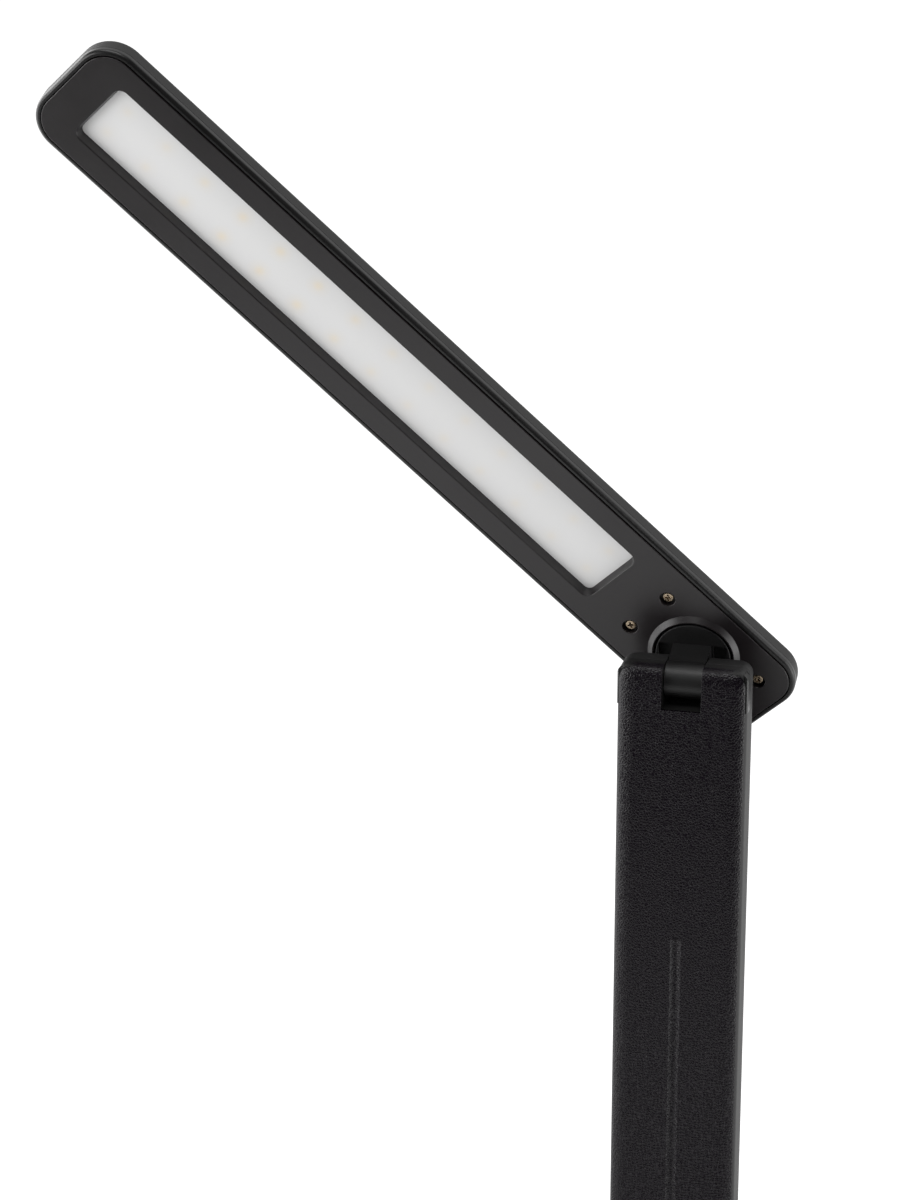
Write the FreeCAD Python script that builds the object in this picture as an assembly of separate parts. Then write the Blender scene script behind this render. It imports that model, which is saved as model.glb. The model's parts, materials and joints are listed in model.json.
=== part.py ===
import FreeCAD
import Part
import math
import os

# A folding LED desk lamp. A flat bar-shaped head turns on a round swivel, the swivel tilts on a
# knuckle between the two ears of a slim post, and the post folds down over a weighted base.
# Millimetres. X points to the right, Y to the back and Z up; the origin is the centre of the
# underside of the base, on the desk. The model stands with the head leaning forward and turned left.

# Standing pose
head_lean_deg = 17.5
head_turn_deg = -43.5

# Clearances, and how far a cutter runs past the face it cuts
pin_clearance = 0.05
hub_clearance = 0.1
moving_clearance = 0.3
seat_clearance = 0.05
overrun = 2.0

# Base
base_width = 116.0
base_depth = 156.0
base_height = 20.0
base_corner_radius = 14.0
base_edge_radius = 3.5
base_wall = 2.2
base_split_height = 5.5
base_lift = 0.6
base_floor = 2.4

# Rubber pad under the base
pad_inset = 7.0
pad_seat_depth = 0.7

# Steel weight inside the base
weight_side_inset = 16.0
weight_end_inset = 19.0
weight_thickness = 5.0
weight_corner_radius = 6.0

# Screws that close the base, driven from below
base_screw_inset = 11.0
base_screw_radius = 1.5
base_screw_length = 13.0
base_screw_head_radius = 2.8
base_screw_head_height = 1.5
base_post_radius = 3.6

# Hinge post that stands up out of the base
hinge_rise = 24.0
hinge_set_back = 22.0
hinge_post_depth = 14.0
hinge_collar_height = 1.6
hinge_collar_reach = 3.0
hinge_flange_depth = 32.0
hinge_flange_back_reach = 3.0
hinge_flange_thickness = 3.0
hinge_flange_screw_gap = 2.4
hinge_flange_screw_edge = 6.0
hinge_flange_screw_radius = 2.0
hinge_flange_screw_head_radius = 3.6
hinge_flange_screw_head_height = 2.2

# Touch control and its electronics
touch_panel_width = 64.0
touch_panel_depth = 18.0
touch_panel_thickness = 1.2
touch_panel_corner_radius = 5.0
touch_panel_set_back = 24.0
touch_panel_shelf = 1.4
touch_sensor_count = 3
touch_sensor_radius = 4.0
touch_sensor_height = 2.4
control_board_side_inset = 23.0
control_board_depth = 34.0
control_board_thickness = 1.6
board_stud_radius = 2.0

# Low-voltage power socket at the back of the base
socket_side_inset = 26.0
socket_barrel_radius = 4.0
socket_bore_radius = 3.1
socket_bore_depth = 9.0
socket_pin_radius = 1.0
socket_pin_length = 8.0
socket_body_width = 10.0
socket_body_height = 10.0
socket_body_depth = 12.0

# Post (the upright arm)
stem_width = 42.0
stem_depth = 17.0
stem_axle_spacing = 285.0
stem_end_wall = 1.28
stem_front_radius = 3.5
stem_rear_radius = 5.0
stem_end_radius = 3.2
stem_side_wall = 2.2
stem_rear_wall = 2.2
stem_front_wall = 2.2
parting_gap = 0.1

# Leather-look panel over the front of the post, and how far it follows the rounded edges
leather_thickness = 1.2
leather_wrap = 1.3
leather_seam = 0.15
groove_width = 3.6
groove_depth = 0.85
groove_top_drop = 86.0
groove_bottom_rise = 40.0

# Slots at the two ends of the post
slot_floor_gap = 1.0
slot_floor_wall = 2.0
slot_side_wall = 1.75
upper_slot_width = 12.9

# Plastic caps let into the sides of the post at both hinges
cap_height = 13.5
cap_front_gap = 0.15
cap_rear_margin = 10.4
cap_let_in = 1.2
cap_proud = 0.2
cap_edge_radius = 0.2

# Ribs inside the rear shell, and the lead that they carry
stem_rib_count = 3
stem_rib_thickness = 1.5
stem_lead_radius = 1.5

# Screws that close the post from behind
shell_screw_side_offset = 13.5
shell_screw_drop = 26.0
shell_screw_radius = 1.1
shell_screw_length = 10.5
shell_screw_head_radius = 1.9
shell_screw_head_height = 1.4
shell_boss_radius = 3.0

# Steel hinge brackets inside the post
bracket_thickness = 1.5
bracket_depth = 9.0
bracket_top_reach = 3.0
bracket_tail_width = 16.0
bracket_tail_length = 28.0
bracket_screw_radius = 1.2
bracket_screw_head_radius = 2.2
bracket_screw_head_height = 1.3
bracket_screw_grip = 1.3
bracket_screw_spacing = 14.0

# Axles, spring washers and nuts
tilt_axle_radius = 2.5
fold_axle_radius = 3.0
axle_head_radius = 4.4
axle_head_height = 2.2
axle_tail = 0.3
axle_end_gap = 0.15
spring_washer_count = 2
spring_washer_thickness = 0.6
spring_washer_radius = 4.6
nut_across_flats = 8.0
nut_height = 2.4

# Knuckle: barrel, neck and swivel disc in one moulding
barrel_radius = 6.0
neck_thickness = 10.0
swivel_offset = 13.9
swivel_disc_radius = 12.3
swivel_disc_back = 1.0
swivel_hub_radius = 9.2
swivel_pocket_depth = 1.6
swivel_pocket_side_gap = 0.6
swivel_pocket_rim = 0.2
swivel_pocket_height = 9.6

# Parts that hold the swivel together behind the head's lower cover
swivel_washer_width = 2.1
swivel_washer_thickness = 0.5
retainer_radius = 11.8
retainer_thickness = 1.0
retainer_hole_radius = 2.2
retainer_screw_count = 3
retainer_screw_circle_radius = 6.0
retainer_screw_radius = 1.0
retainer_screw_head_radius = 1.8
retainer_screw_head_height = 1.0
retainer_screw_grip = 2.2

# Head
head_width = 42.6
head_reach = 273.0
head_tail = 32.3
head_thickness = 8.7
head_corner_radius = 11.7
head_back_edge_radius = 2.5
head_side_wall = 1.5
head_back_wall = 1.6

# Smooth frame round the light side of the head
rim_height = 2.7
rim_wall = 1.4
rim_edge_radius = 1.25
rim_ledge = 1.8
rim_drop = 0.3

# Lower cover of the head, the matt plate that faces the desk
cover_thickness = 1.4
cover_seam = 0.25
cover_edge_radius = 0.35

# Sloping recess of the lower cover round the diffuser
window_start = 37.2
window_end_margin = 14.3
window_width = 23.6
window_corner_radius = 3.0
window_slope_inset = 0.85
window_surround = 1.3

# Collar of the lower cover round the swivel
collar_height = 1.5
collar_mouth_flare = 0.6
collar_crest_width = 0.4
collar_flank_width = 1.5
collar_lead_in = 0.7
swivel_flange_thickness = 1.6

# Screws that close the head
head_screw_tail_margin = 11.7
head_screw_spacing_across = 17.5
head_screw_radius = 1.0
head_screw_end_gap = 0.25
head_screw_head_radius = 1.65
head_screw_head_height = 1.0
head_screw_sink = 0.95
head_screw_counterbore_radius = 2.35
head_boss_radius = 3.4
head_boss_wall = 1.0
head_post_radius = 2.6
head_post_floor = 0.5

# Light source
diffuser_thickness = 1.5
led_board_width = 24.0
led_board_thickness = 1.0
led_row_spacing = 10.6
led_pitch = 15.9
led_length = 3.5
led_width = 2.8
led_height = 0.7
led_air_gap = 0.7
head_lead_radius = 0.8

# Places that follow from the sizes above
stem_centre_y = base_depth / 2 - hinge_set_back
fold_axis_z = base_height + hinge_rise
tilt_axis_z = fold_axis_z + stem_axle_spacing
knuckle_width = upper_slot_width - 2 * moving_clearance
cavity_half_width = stem_width / 2 - stem_side_wall
washer_stack = spring_washer_count * (spring_washer_thickness + seat_clearance)
axle_stack = 2 * seat_clearance + bracket_thickness + washer_stack + nut_height + axle_tail
lower_slot_width = 2 * (cavity_half_width - axle_end_gap - axle_stack - slot_side_wall)
hinge_post_width = lower_slot_width - 2 * moving_clearance
flange_screw_x = hinge_post_width / 2 + hinge_flange_screw_gap + hinge_flange_screw_head_radius
slot_floor_depth = max(barrel_radius, hinge_post_depth / 2) + slot_floor_gap
cavity_front = -(stem_depth / 2 - leather_thickness - stem_front_wall)
cavity_back = stem_depth / 2 - stem_rear_wall
slot_floor_bottom = slot_floor_depth + slot_floor_wall
hardware_radius = max(spring_washer_radius, axle_head_radius, nut_across_flats / math.sqrt(3))
ear_reach = max(hardware_radius, bracket_depth / 2) + hub_clearance
stem_end_reach = ear_reach + stem_end_wall
leather_edge = -stem_depth / 2 + leather_wrap
cap_front = leather_edge + leather_seam + cap_front_gap
cap_back = stem_depth / 2 - cap_rear_margin
head_inner_back = head_thickness - head_back_wall
board_front = head_inner_back - seat_clearance - led_board_thickness
window_depth = board_front - led_height - led_air_gap - diffuser_thickness - seat_clearance
window_end = head_reach - window_end_margin
led_count_per_row = 1 + int((window_end - window_start - led_length) / led_pitch)
head_screw_spacing_along = 2 * (head_tail - head_screw_tail_margin)
collar_crest_inner_radius = swivel_disc_radius + moving_clearance + collar_mouth_flare
collar_crest_outer_radius = collar_crest_inner_radius + collar_crest_width
collar_radius = collar_crest_outer_radius + collar_flank_width
cover_inset = rim_wall + cover_seam
weight_bottom = base_lift + base_floor + seat_clearance
weight_top = weight_bottom + weight_thickness
flange_top = weight_top + hinge_flange_thickness
disc_front = -collar_height
flange_front = swivel_disc_back + moving_clearance
flange_back = flange_front + swivel_flange_thickness
washer_front = flange_back + hub_clearance
hub_end = washer_front + swivel_washer_thickness
panel_underside = base_height - touch_panel_thickness - touch_panel_shelf
board_top = panel_underside - touch_sensor_height
control_board_width = base_width - 2 * control_board_side_inset
socket_x = socket_side_inset - base_width / 2
socket_z = base_height - base_wall - hub_clearance - socket_body_height / 2


def vector(x, y, z):
    return FreeCAD.Vector(x, y, z)


def block(x_from, x_to, y_from, y_to, z_from, z_to):
    """A box between two corners."""
    corner = vector(x_from, y_from, z_from)
    return Part.makeBox(x_to - x_from, y_to - y_from, z_to - z_from, corner)


def rod_x(radius, x_from, x_to, y=0, z=0):
    return Part.makeCylinder(radius, x_to - x_from, vector(x_from, y, z), vector(1, 0, 0))


def rod_y(radius, y_from, y_to, x=0, z=0):
    return Part.makeCylinder(radius, y_to - y_from, vector(x, y_from, z), vector(0, 1, 0))


def rod_z(radius, z_from, z_to, x=0, y=0):
    return Part.makeCylinder(radius, z_to - z_from, vector(x, y, z_from), vector(0, 0, 1))


def rounded_outline(x_from, x_to, y_from, y_to, radius, z=0):
    """A closed wire: a rectangle in a level plane with four round corners."""
    corners = [(x_to - radius, y_to - radius, 0), (x_from + radius, y_to - radius, 90)]
    corners += [(x_from + radius, y_from + radius, 180), (x_to - radius, y_from + radius, 270)]
    arcs = []
    for x, y, start in corners:
        points = []
        for turn in (0, 45, 90):
            angle = math.radians(start + turn)
            points.append(vector(x + radius * math.cos(angle), y + radius * math.sin(angle), z))
        arcs.append(points)
    edges = []
    for index, points in enumerate(arcs):
        edges.append(Part.Arc(points[0], points[1], points[2]).toShape())
        edges.append(Part.LineSegment(points[2], arcs[(index + 1) % len(arcs)][0]).toShape())
    return Part.Wire(edges)


def slab(x_from, x_to, y_from, y_to, z_from, z_to, radius):
    """A level plate with four round corners."""
    outline = rounded_outline(x_from, x_to, y_from, y_to, radius, z_from)
    return Part.Face(outline).extrude(vector(0, 0, z_to - z_from))


def stand_up(shape):
    """Turns a level shape so that its +Y becomes +Z and its -Z becomes +Y."""
    shape.rotate(vector(0, 0, 0), vector(1, 0, 0), 90)
    return shape


def head_plate(inset, y_from, y_to):
    """A slice of the head's outline, drawn in by inset, between two depths behind the light side."""
    half = head_width / 2 - inset
    tail = -head_tail + inset
    reach = head_reach - inset
    return stand_up(slab(-half, half, tail, reach, -y_to, -y_from, head_corner_radius - inset))


def edges_where(shape, test):
    """The edges of a shape whose bounding box passes a test."""
    return [edge for edge in shape.Edges if test(edge.BoundBox)]


def at_level(low, high, level):
    """True where both ends of a span lie on one level."""
    return abs(low - level) < pin_clearance and abs(high - level) < pin_clearance


def fuse_all(shapes):
    """One solid from several overlapping ones, without the seams between them."""
    first = shapes[0]
    joined = first.fuse(shapes[1:])
    return joined.removeSplitter()


def turn_to_lower_end(shape):
    """Moves a shape made for the upper end of the post to its lower end, upside down."""
    turned = shape.copy()
    turned.rotate(vector(0, 0, 0), vector(0, 1, 0), 180)
    turned.translate(vector(0, 0, -stem_axle_spacing))
    return turned


def place_in_stem(shape):
    """From the frame of the tilt axle to the frame of the lamp."""
    placed = shape.copy()
    placed.translate(vector(0, stem_centre_y, tilt_axis_z))
    return placed


def place_in_knuckle(shape):
    """From the upright frame of the tilt axle, leaned forward with the head."""
    leaned = shape.copy()
    leaned.rotate(vector(0, 0, 0), vector(1, 0, 0), head_lean_deg)
    return place_in_stem(leaned)


def behind_swivel_plane(shape):
    """From the plane of the lower cover to the frame of the tilt axle."""
    moved = shape.copy()
    moved.translate(vector(0, swivel_offset, 0))
    return moved


def place_in_head(shape):
    """From the upright frame of the head, turned on the swivel and leaned forward."""
    turned = shape.copy()
    turned.rotate(vector(0, 0, 0), vector(0, 1, 0), head_turn_deg)
    return place_in_knuckle(behind_swivel_plane(turned))


# Base pieces

def base_outer(z_from, z_to, inset=0):
    half_width = base_width / 2 - inset
    half_depth = base_depth / 2 - inset
    radius = base_corner_radius - inset
    return slab(-half_width, half_width, -half_depth, half_depth, z_from, z_to, radius)


def base_screw_places():
    x = base_width / 2 - base_screw_inset
    y = base_depth / 2 - base_screw_inset
    return [(sx * x, sy * y) for sx in (-1, 1) for sy in (-1, 1)]


def rubber_pad():
    return base_outer(0, base_lift + pad_seat_depth, pad_inset + seat_clearance)


def base_bottom_cover():
    """Shallow tray with a seat for the pad and four counterbored screw bosses."""
    floor_top = base_lift + base_floor
    boss_top = base_split_height + seat_clearance
    tray = base_outer(base_lift, base_split_height)
    tray = tray.makeFillet(base_lift, edges_where(tray, lambda b: at_level(b.ZMin, b.ZMax, base_lift)))
    tray = tray.cut(base_outer(floor_top, base_split_height + overrun, base_wall))
    for x, y in base_screw_places():
        tray = tray.fuse(rod_z(base_post_radius, floor_top - seat_clearance, boss_top, x, y))
    tray = tray.cut(base_outer(base_lift - overrun, base_lift + pad_seat_depth, pad_inset))
    head_bottom = base_lift + pad_seat_depth
    head_room = head_bottom + base_screw_head_height + 2 * seat_clearance
    for x, y in base_screw_places():
        hole_radius = base_screw_radius + pin_clearance
        recess_radius = base_screw_head_radius + seat_clearance
        tray = tray.cut(rod_z(hole_radius, base_lift, boss_top + overrun, x, y))
        tray = tray.cut(rod_z(recess_radius, base_lift, head_room, x, y))
    return tray.cut(socket_hole())


def base_screws():
    shapes = []
    bottom = base_lift + pad_seat_depth + seat_clearance
    for x, y in base_screw_places():
        head = rod_z(base_screw_head_radius, bottom, bottom + base_screw_head_height, x, y)
        shank = rod_z(base_screw_radius, bottom, bottom + base_screw_length, x, y)
        shapes.append(fuse_all([head, shank]))
    return Part.makeCompound(shapes)


def base_weight():
    """Steel plate that keeps the lamp upright, drilled for the hinge flange."""
    half_width = base_width / 2 - weight_side_inset
    half_depth = base_depth / 2 - weight_end_inset
    plate = slab(-half_width, half_width, -half_depth, half_depth, weight_bottom, weight_top,
                 weight_corner_radius)
    for x, y in flange_screw_places():
        hole_radius = hinge_flange_screw_radius + pin_clearance
        plate = plate.cut(rod_z(hole_radius, weight_bottom - overrun, weight_top + overrun, x, y))
    return plate


def flange_screw_places():
    y = stem_centre_y - hinge_flange_depth / 4
    return [(-flange_screw_x, y), (flange_screw_x, y)]


def hinge_flange():
    half_width = flange_screw_x + hinge_flange_screw_edge
    radius = hinge_flange_thickness
    back = stem_centre_y + hinge_flange_back_reach
    front = back - hinge_flange_depth
    return slab(-half_width, half_width, front, back, weight_top, flange_top, radius)


def hinge_post():
    """Upright lug with a rounded top and a bore for the fold axle, on a screwed flange."""
    half_width = hinge_post_width / 2
    half_depth = hinge_post_depth / 2
    front = stem_centre_y - half_depth
    back = stem_centre_y + half_depth
    upright = block(-half_width, half_width, front, back, weight_top, fold_axis_z)
    crown = rod_x(half_depth, -half_width, half_width, stem_centre_y, fold_axis_z)
    lug = fuse_all([upright, crown, hinge_flange()])
    bore_radius = fold_axle_radius + pin_clearance
    bore_half = half_width + overrun
    lug = lug.cut(rod_x(bore_radius, -bore_half, bore_half, stem_centre_y, fold_axis_z))
    for x, y in flange_screw_places():
        hole_radius = hinge_flange_screw_radius + pin_clearance
        lug = lug.cut(rod_z(hole_radius, weight_top - overrun, flange_top + overrun, x, y))
    return lug


def hinge_flange_screws():
    shapes = []
    for x, y in flange_screw_places():
        head_top = flange_top + hinge_flange_screw_head_height
        head = rod_z(hinge_flange_screw_head_radius, flange_top, head_top, x, y)
        shank = rod_z(hinge_flange_screw_radius, weight_bottom, head_top, x, y)
        shapes.append(fuse_all([head, shank]))
    return Part.makeCompound(shapes)


def touch_panel_slab(z_from, z_to, grow=0):
    half_width = touch_panel_width / 2 + grow
    half_depth = touch_panel_depth / 2 + grow
    y = touch_panel_centre_y()
    radius = touch_panel_corner_radius + grow
    return slab(-half_width, half_width, y - half_depth, y + half_depth, z_from, z_to, radius)


def touch_panel_centre_y():
    return -base_depth / 2 + touch_panel_set_back


def touch_panel():
    return touch_panel_slab(base_height - touch_panel_thickness, base_height)


def board_stud_places():
    x = control_board_width / 2 - 2 * board_stud_radius
    y = control_board_depth / 2 - 2 * board_stud_radius
    centre = touch_panel_centre_y()
    return [(sx * x, centre + sy * y) for sx in (-1, 1) for sy in (-1, 1)]


def base_top_cover():
    """Rounded shell with a collar round the hinge post, a shelf for the touch panel, four screw
    posts, four studs that carry the board, and a hole for the socket."""
    shell = base_outer(base_split_height + parting_gap, base_height)
    top_edges = edges_where(shell, lambda b: at_level(b.ZMin, b.ZMax, base_height))
    shell = shell.makeFillet(base_edge_radius, top_edges)
    half_width = hinge_post_width / 2 + hinge_collar_reach
    front = stem_centre_y - hinge_post_depth / 2 - hinge_collar_reach
    back = stem_centre_y + hinge_post_depth / 2 + hinge_collar_reach
    collar_top = base_height + hinge_collar_height
    collar = slab(-half_width, half_width, front, back, base_height - base_wall, collar_top,
                  hinge_collar_reach)
    shell = shell.fuse(collar)
    ceiling = base_height - base_wall
    cavity = base_outer(base_split_height - overrun, ceiling, base_wall)
    shelf = touch_panel_slab(panel_underside, base_height, base_wall)
    shell = shell.cut(cavity.cut(shelf))
    shell = shell.cut(touch_panel_slab(base_height - touch_panel_thickness, base_height + overrun,
                                       seat_clearance))
    screw_top = base_lift + pad_seat_depth + base_screw_length + 2 * seat_clearance
    for x, y in base_screw_places():
        post_bottom = base_split_height + parting_gap
        post = rod_z(base_post_radius, post_bottom, ceiling + seat_clearance, x, y)
        shell = shell.fuse(post)
        hole_radius = base_screw_radius + pin_clearance
        shell = shell.cut(rod_z(hole_radius, post_bottom - overrun, screw_top, x, y))
    for x, y in board_stud_places():
        shell = shell.fuse(rod_z(board_stud_radius, board_top, ceiling + seat_clearance, x, y))
    gap = seat_clearance
    post_half = hinge_post_width / 2 + gap
    post_front = stem_centre_y - hinge_post_depth / 2 - gap
    post_back = stem_centre_y + hinge_post_depth / 2 + gap
    shell = shell.cut(block(-post_half, post_half, post_front, post_back,
                            ceiling - overrun, collar_top + overrun))
    return shell.cut(socket_hole()).removeSplitter()


def socket_hole():
    wall_front = base_depth / 2 - base_wall - overrun
    wall_back = base_depth / 2 + overrun
    return rod_y(socket_barrel_radius + seat_clearance, wall_front, wall_back, socket_x, socket_z)


def touch_sensors():
    """Sensor pads that stand on the board and press against the shelf under the panel."""
    shapes = []
    step = touch_panel_width / touch_sensor_count
    for index in range(touch_sensor_count):
        x = (index - (touch_sensor_count - 1) / 2) * step
        y = touch_panel_centre_y()
        shapes.append(rod_z(touch_sensor_radius, board_top, panel_underside, x, y))
    return Part.makeCompound(shapes)


def control_board():
    half_width = control_board_width / 2
    half_depth = control_board_depth / 2
    y = touch_panel_centre_y()
    bottom = board_top - control_board_thickness
    return block(-half_width, half_width, y - half_depth, y + half_depth, bottom, board_top)


def power_socket():
    """Round barrel with a centre pin, on a square body against the inside of the back wall."""
    x = socket_x
    wall_inside = base_depth / 2 - base_wall
    half_width = socket_body_width / 2
    half_height = socket_body_height / 2
    body_back = wall_inside - seat_clearance
    body_front = body_back - socket_body_depth
    body = block(x - half_width, x + half_width, body_front, body_back,
                 socket_z - half_height, socket_z + half_height)
    barrel_end = base_depth / 2 - seat_clearance
    barrel = rod_y(socket_barrel_radius, body_front, barrel_end, x, socket_z)
    bore_bottom = barrel_end - socket_bore_depth
    bore = rod_y(socket_bore_radius, bore_bottom, barrel_end + overrun, x, socket_z)
    pin_end = bore_bottom + socket_pin_length
    pin = rod_y(socket_pin_radius, bore_bottom - overrun, pin_end, x, socket_z)
    return fuse_all([fuse_all([body, barrel]).cut(bore), pin])


# Pieces of the post, in the frame of the tilt axle

def stem_body(grow=0):
    """The outer form of the post, made larger or smaller on every side."""
    half_width = stem_width / 2 + grow
    half_depth = stem_depth / 2 + grow
    top = stem_end_reach + grow
    bottom = -stem_axle_spacing - stem_end_reach - grow
    body = block(-half_width, half_width, -half_depth, half_depth, bottom, top)
    front = edges_where(body, lambda b: at_level(b.YMin, b.YMax, -half_depth) and b.ZLength > half_width)
    body = body.makeFillet(stem_front_radius + grow, front)
    rear = edges_where(body, lambda b: at_level(b.YMin, b.YMax, half_depth) and b.ZLength > half_width)
    body = body.makeFillet(stem_rear_radius + grow, rear)
    ends = edges_where(body, lambda b: at_level(b.ZMin, b.ZMax, top) or at_level(b.ZMin, b.ZMax, bottom))
    return body.makeFillet(stem_end_radius + grow, ends)


def end_slot(width):
    """Cutter for the slot between the ears, for the upper end."""
    half = width / 2
    reach = stem_depth / 2 + overrun
    return block(-half, half, -reach, reach, -slot_floor_depth, stem_end_reach + overrun)


def ear_cavity(slot_width, side):
    """Cutter for the hollow of one ear, for the upper end; it runs into the main hollow."""
    inner = slot_width / 2 + slot_side_wall
    x_from = min(side * inner, side * cavity_half_width)
    x_to = max(side * inner, side * cavity_half_width)
    return block(x_from, x_to, -ear_reach, cavity_back, -slot_floor_bottom - overrun, ear_reach)


def cap_zone(side, front, grow=0):
    """The block of space that one side cap takes up behind a plane, for the upper end."""
    inner = stem_width / 2 - cap_let_in - grow
    outer = stem_width / 2 + cap_proud + overrun
    x_from = min(side * inner, side * outer)
    x_to = max(side * inner, side * outer)
    bottom = stem_end_reach - cap_height - grow
    return block(x_from, x_to, front, cap_back + grow, bottom, stem_end_reach + grow)


def end_cutters(slot_width, axle_radius):
    """Everything that both shells lose at one end of the post, for the upper end."""
    reach = cavity_half_width
    hole = rod_x(axle_radius + hub_clearance, -reach, reach)
    cutters = [end_slot(slot_width), hole]
    for side in (-1, 1):
        cutters.append(ear_cavity(slot_width, side))
        cutters.append(cap_zone(side, leather_edge, seat_clearance))
    return cutters


def shell_cutters():
    upper = end_cutters(upper_slot_width, tilt_axle_radius)
    lower = [turn_to_lower_end(cutter) for cutter in end_cutters(lower_slot_width, fold_axle_radius)]
    main = block(-cavity_half_width, cavity_half_width, cavity_front, cavity_back,
                 -stem_axle_spacing + slot_floor_bottom, -slot_floor_bottom)
    return [main] + upper + lower


def front_of(shape, y):
    reach = stem_axle_spacing * 2
    return shape.common(block(-reach, reach, -reach, y, -reach, reach))


def behind(shape, y):
    reach = stem_axle_spacing * 2
    return shape.common(block(-reach, reach, y, reach, -reach, reach))


def shell_screw_places():
    places = []
    for x in (-shell_screw_side_offset, shell_screw_side_offset):
        places.append((x, -shell_screw_drop))
        places.append((x, -stem_axle_spacing + shell_screw_drop))
    return places


def stem_front_shell():
    """Half shell that carries the leather-look panel, with four screw bosses."""
    wide = behind(front_of(stem_body(), -parting_gap / 2), leather_edge + leather_seam)
    carrier = front_of(stem_body(-leather_thickness - seat_clearance), leather_edge + leather_seam)
    shell = wide.fuse(carrier).cut(shell_cutters())
    for x, z in shell_screw_places():
        shell = shell.fuse(rod_y(shell_boss_radius, cavity_front, -parting_gap / 2, x, z))
    tip = shell_screw_seat() - shell_screw_length - seat_clearance
    for x, z in shell_screw_places():
        shell = shell.cut(rod_y(shell_screw_radius + pin_clearance, tip, overrun, x, z))
    return shell.removeSplitter()


def shell_screw_seat():
    """Where the underside of the screw head lies, behind the axle."""
    return stem_depth / 2 - shell_screw_head_height - seat_clearance


def stem_rear_shell():
    """Half shell with ribs that carry the lead, screw bosses and blind holes for the brackets."""
    shell = behind(stem_body(), parting_gap / 2).cut(shell_cutters())
    start = parting_gap / 2
    for x, z in shell_screw_places():
        shell = shell.fuse(rod_y(shell_boss_radius, start, cavity_back, x, z))
    step = stem_axle_spacing / (stem_rib_count + 1)
    rib_front = stem_lead_radius + seat_clearance
    for index in range(stem_rib_count):
        z = -step * (index + 1)
        half = stem_rib_thickness / 2
        shell = shell.fuse(block(-cavity_half_width, cavity_half_width, rib_front, cavity_back,
                                 z - half, z + half))
    for x, z in shell_screw_places():
        shell = shell.cut(rod_y(shell_screw_radius + pin_clearance, -overrun, stem_depth, x, z))
        shell = shell.cut(rod_y(shell_screw_head_radius + seat_clearance, shell_screw_seat(),
                                stem_depth, x, z))
    hole_end = cavity_back + bracket_screw_grip + seat_clearance
    for z in bracket_screw_heights():
        hole = rod_y(bracket_screw_radius + pin_clearance, cavity_back - overrun, hole_end, 0, z)
        shell = shell.cut(hole).cut(turn_to_lower_end(hole))
    return shell.removeSplitter()


def stem_leather_panel():
    """Thin skin over the front of the post and its rounded edges, with a long groove in the middle."""
    skin = front_of(stem_body(), leather_edge).cut(stem_body(-leather_thickness))
    groove_radius = (groove_width ** 2 / 4 + groove_depth ** 2) / (2 * groove_depth)
    y = -stem_depth / 2 + groove_depth - groove_radius
    top = -groove_top_drop - groove_radius
    bottom = -stem_axle_spacing + groove_bottom_rise + groove_radius
    groove = rod_z(groove_radius, bottom, top, 0, y)
    for z in (bottom, top):
        groove = groove.fuse(Part.makeSphere(groove_radius, vector(0, y, z)))
    skin = skin.cut(groove)
    skin = skin.cut([end_slot(upper_slot_width), turn_to_lower_end(end_slot(lower_slot_width))])
    return skin.removeSplitter()


def side_cap(side):
    """Cap that follows the rounded end of the post a little outside it, with softened edges."""
    cap = stem_body(cap_proud).common(cap_zone(side, cap_front))
    root = stem_width / 2 - cap_let_in + pin_clearance
    bottom = stem_end_reach - cap_height

    def on_rim(box):
        outside = min(side * box.XMin, side * box.XMax) > root
        front = at_level(box.YMin, box.YMax, cap_front)
        back = at_level(box.YMin, box.YMax, cap_back)
        return outside and (front or back or at_level(box.ZMin, box.ZMax, bottom))

    return cap.makeFillet(cap_edge_radius, edges_where(cap, on_rim))


def bracket_screw_heights():
    first = -slot_floor_bottom - bracket_thickness - bracket_tail_length / 4
    return [first, first - bracket_screw_spacing]


def hinge_bracket(slot_width, axle_radius):
    """Folded steel: two tabs that hold the axle, a web under the slot and a tail on the rear wall."""
    inner = slot_width / 2 + slot_side_wall + seat_clearance
    outer = inner + bracket_thickness
    half_depth = bracket_depth / 2
    web_top = -slot_floor_bottom - seat_clearance
    web_bottom = web_top - bracket_thickness
    back = cavity_back - seat_clearance
    web = block(-outer, outer, cavity_front + seat_clearance, back, web_bottom, web_top)
    tail_bottom = web_bottom - bracket_tail_length
    tail_half = bracket_tail_width / 2
    tail = block(-tail_half, tail_half, back - bracket_thickness, back, tail_bottom, web_top)
    pieces = [web, tail]
    for side in (-1, 1):
        x_from = min(side * inner, side * outer)
        x_to = max(side * inner, side * outer)
        pieces.append(block(x_from, x_to, -half_depth, half_depth, web_bottom, bracket_top_reach))
    bracket = fuse_all(pieces)
    bracket = bracket.cut(rod_x(axle_radius + pin_clearance, -outer - overrun, outer + overrun))
    for z in bracket_screw_heights():
        hole_radius = bracket_screw_radius + pin_clearance
        bracket = bracket.cut(rod_y(hole_radius, 0, stem_depth, 0, z))
    return bracket


def bracket_screws():
    shapes = []
    front = cavity_back - seat_clearance - bracket_thickness
    for z in bracket_screw_heights():
        head = rod_y(bracket_screw_head_radius, front - bracket_screw_head_height, front, 0, z)
        shank = rod_y(bracket_screw_radius, front - bracket_screw_head_height,
                      cavity_back + bracket_screw_grip, 0, z)
        screw = fuse_all([head, shank])
        shapes.append(screw)
        shapes.append(turn_to_lower_end(screw))
    return Part.makeCompound(shapes)


def hardware_start(slot_width):
    """Outer face of the bracket tab, where the loose hardware on an axle begins."""
    return slot_width / 2 + slot_side_wall + bracket_thickness + 2 * seat_clearance


def axle_end(slot_width):
    return hardware_start(slot_width) + washer_stack + nut_height + axle_tail


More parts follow.
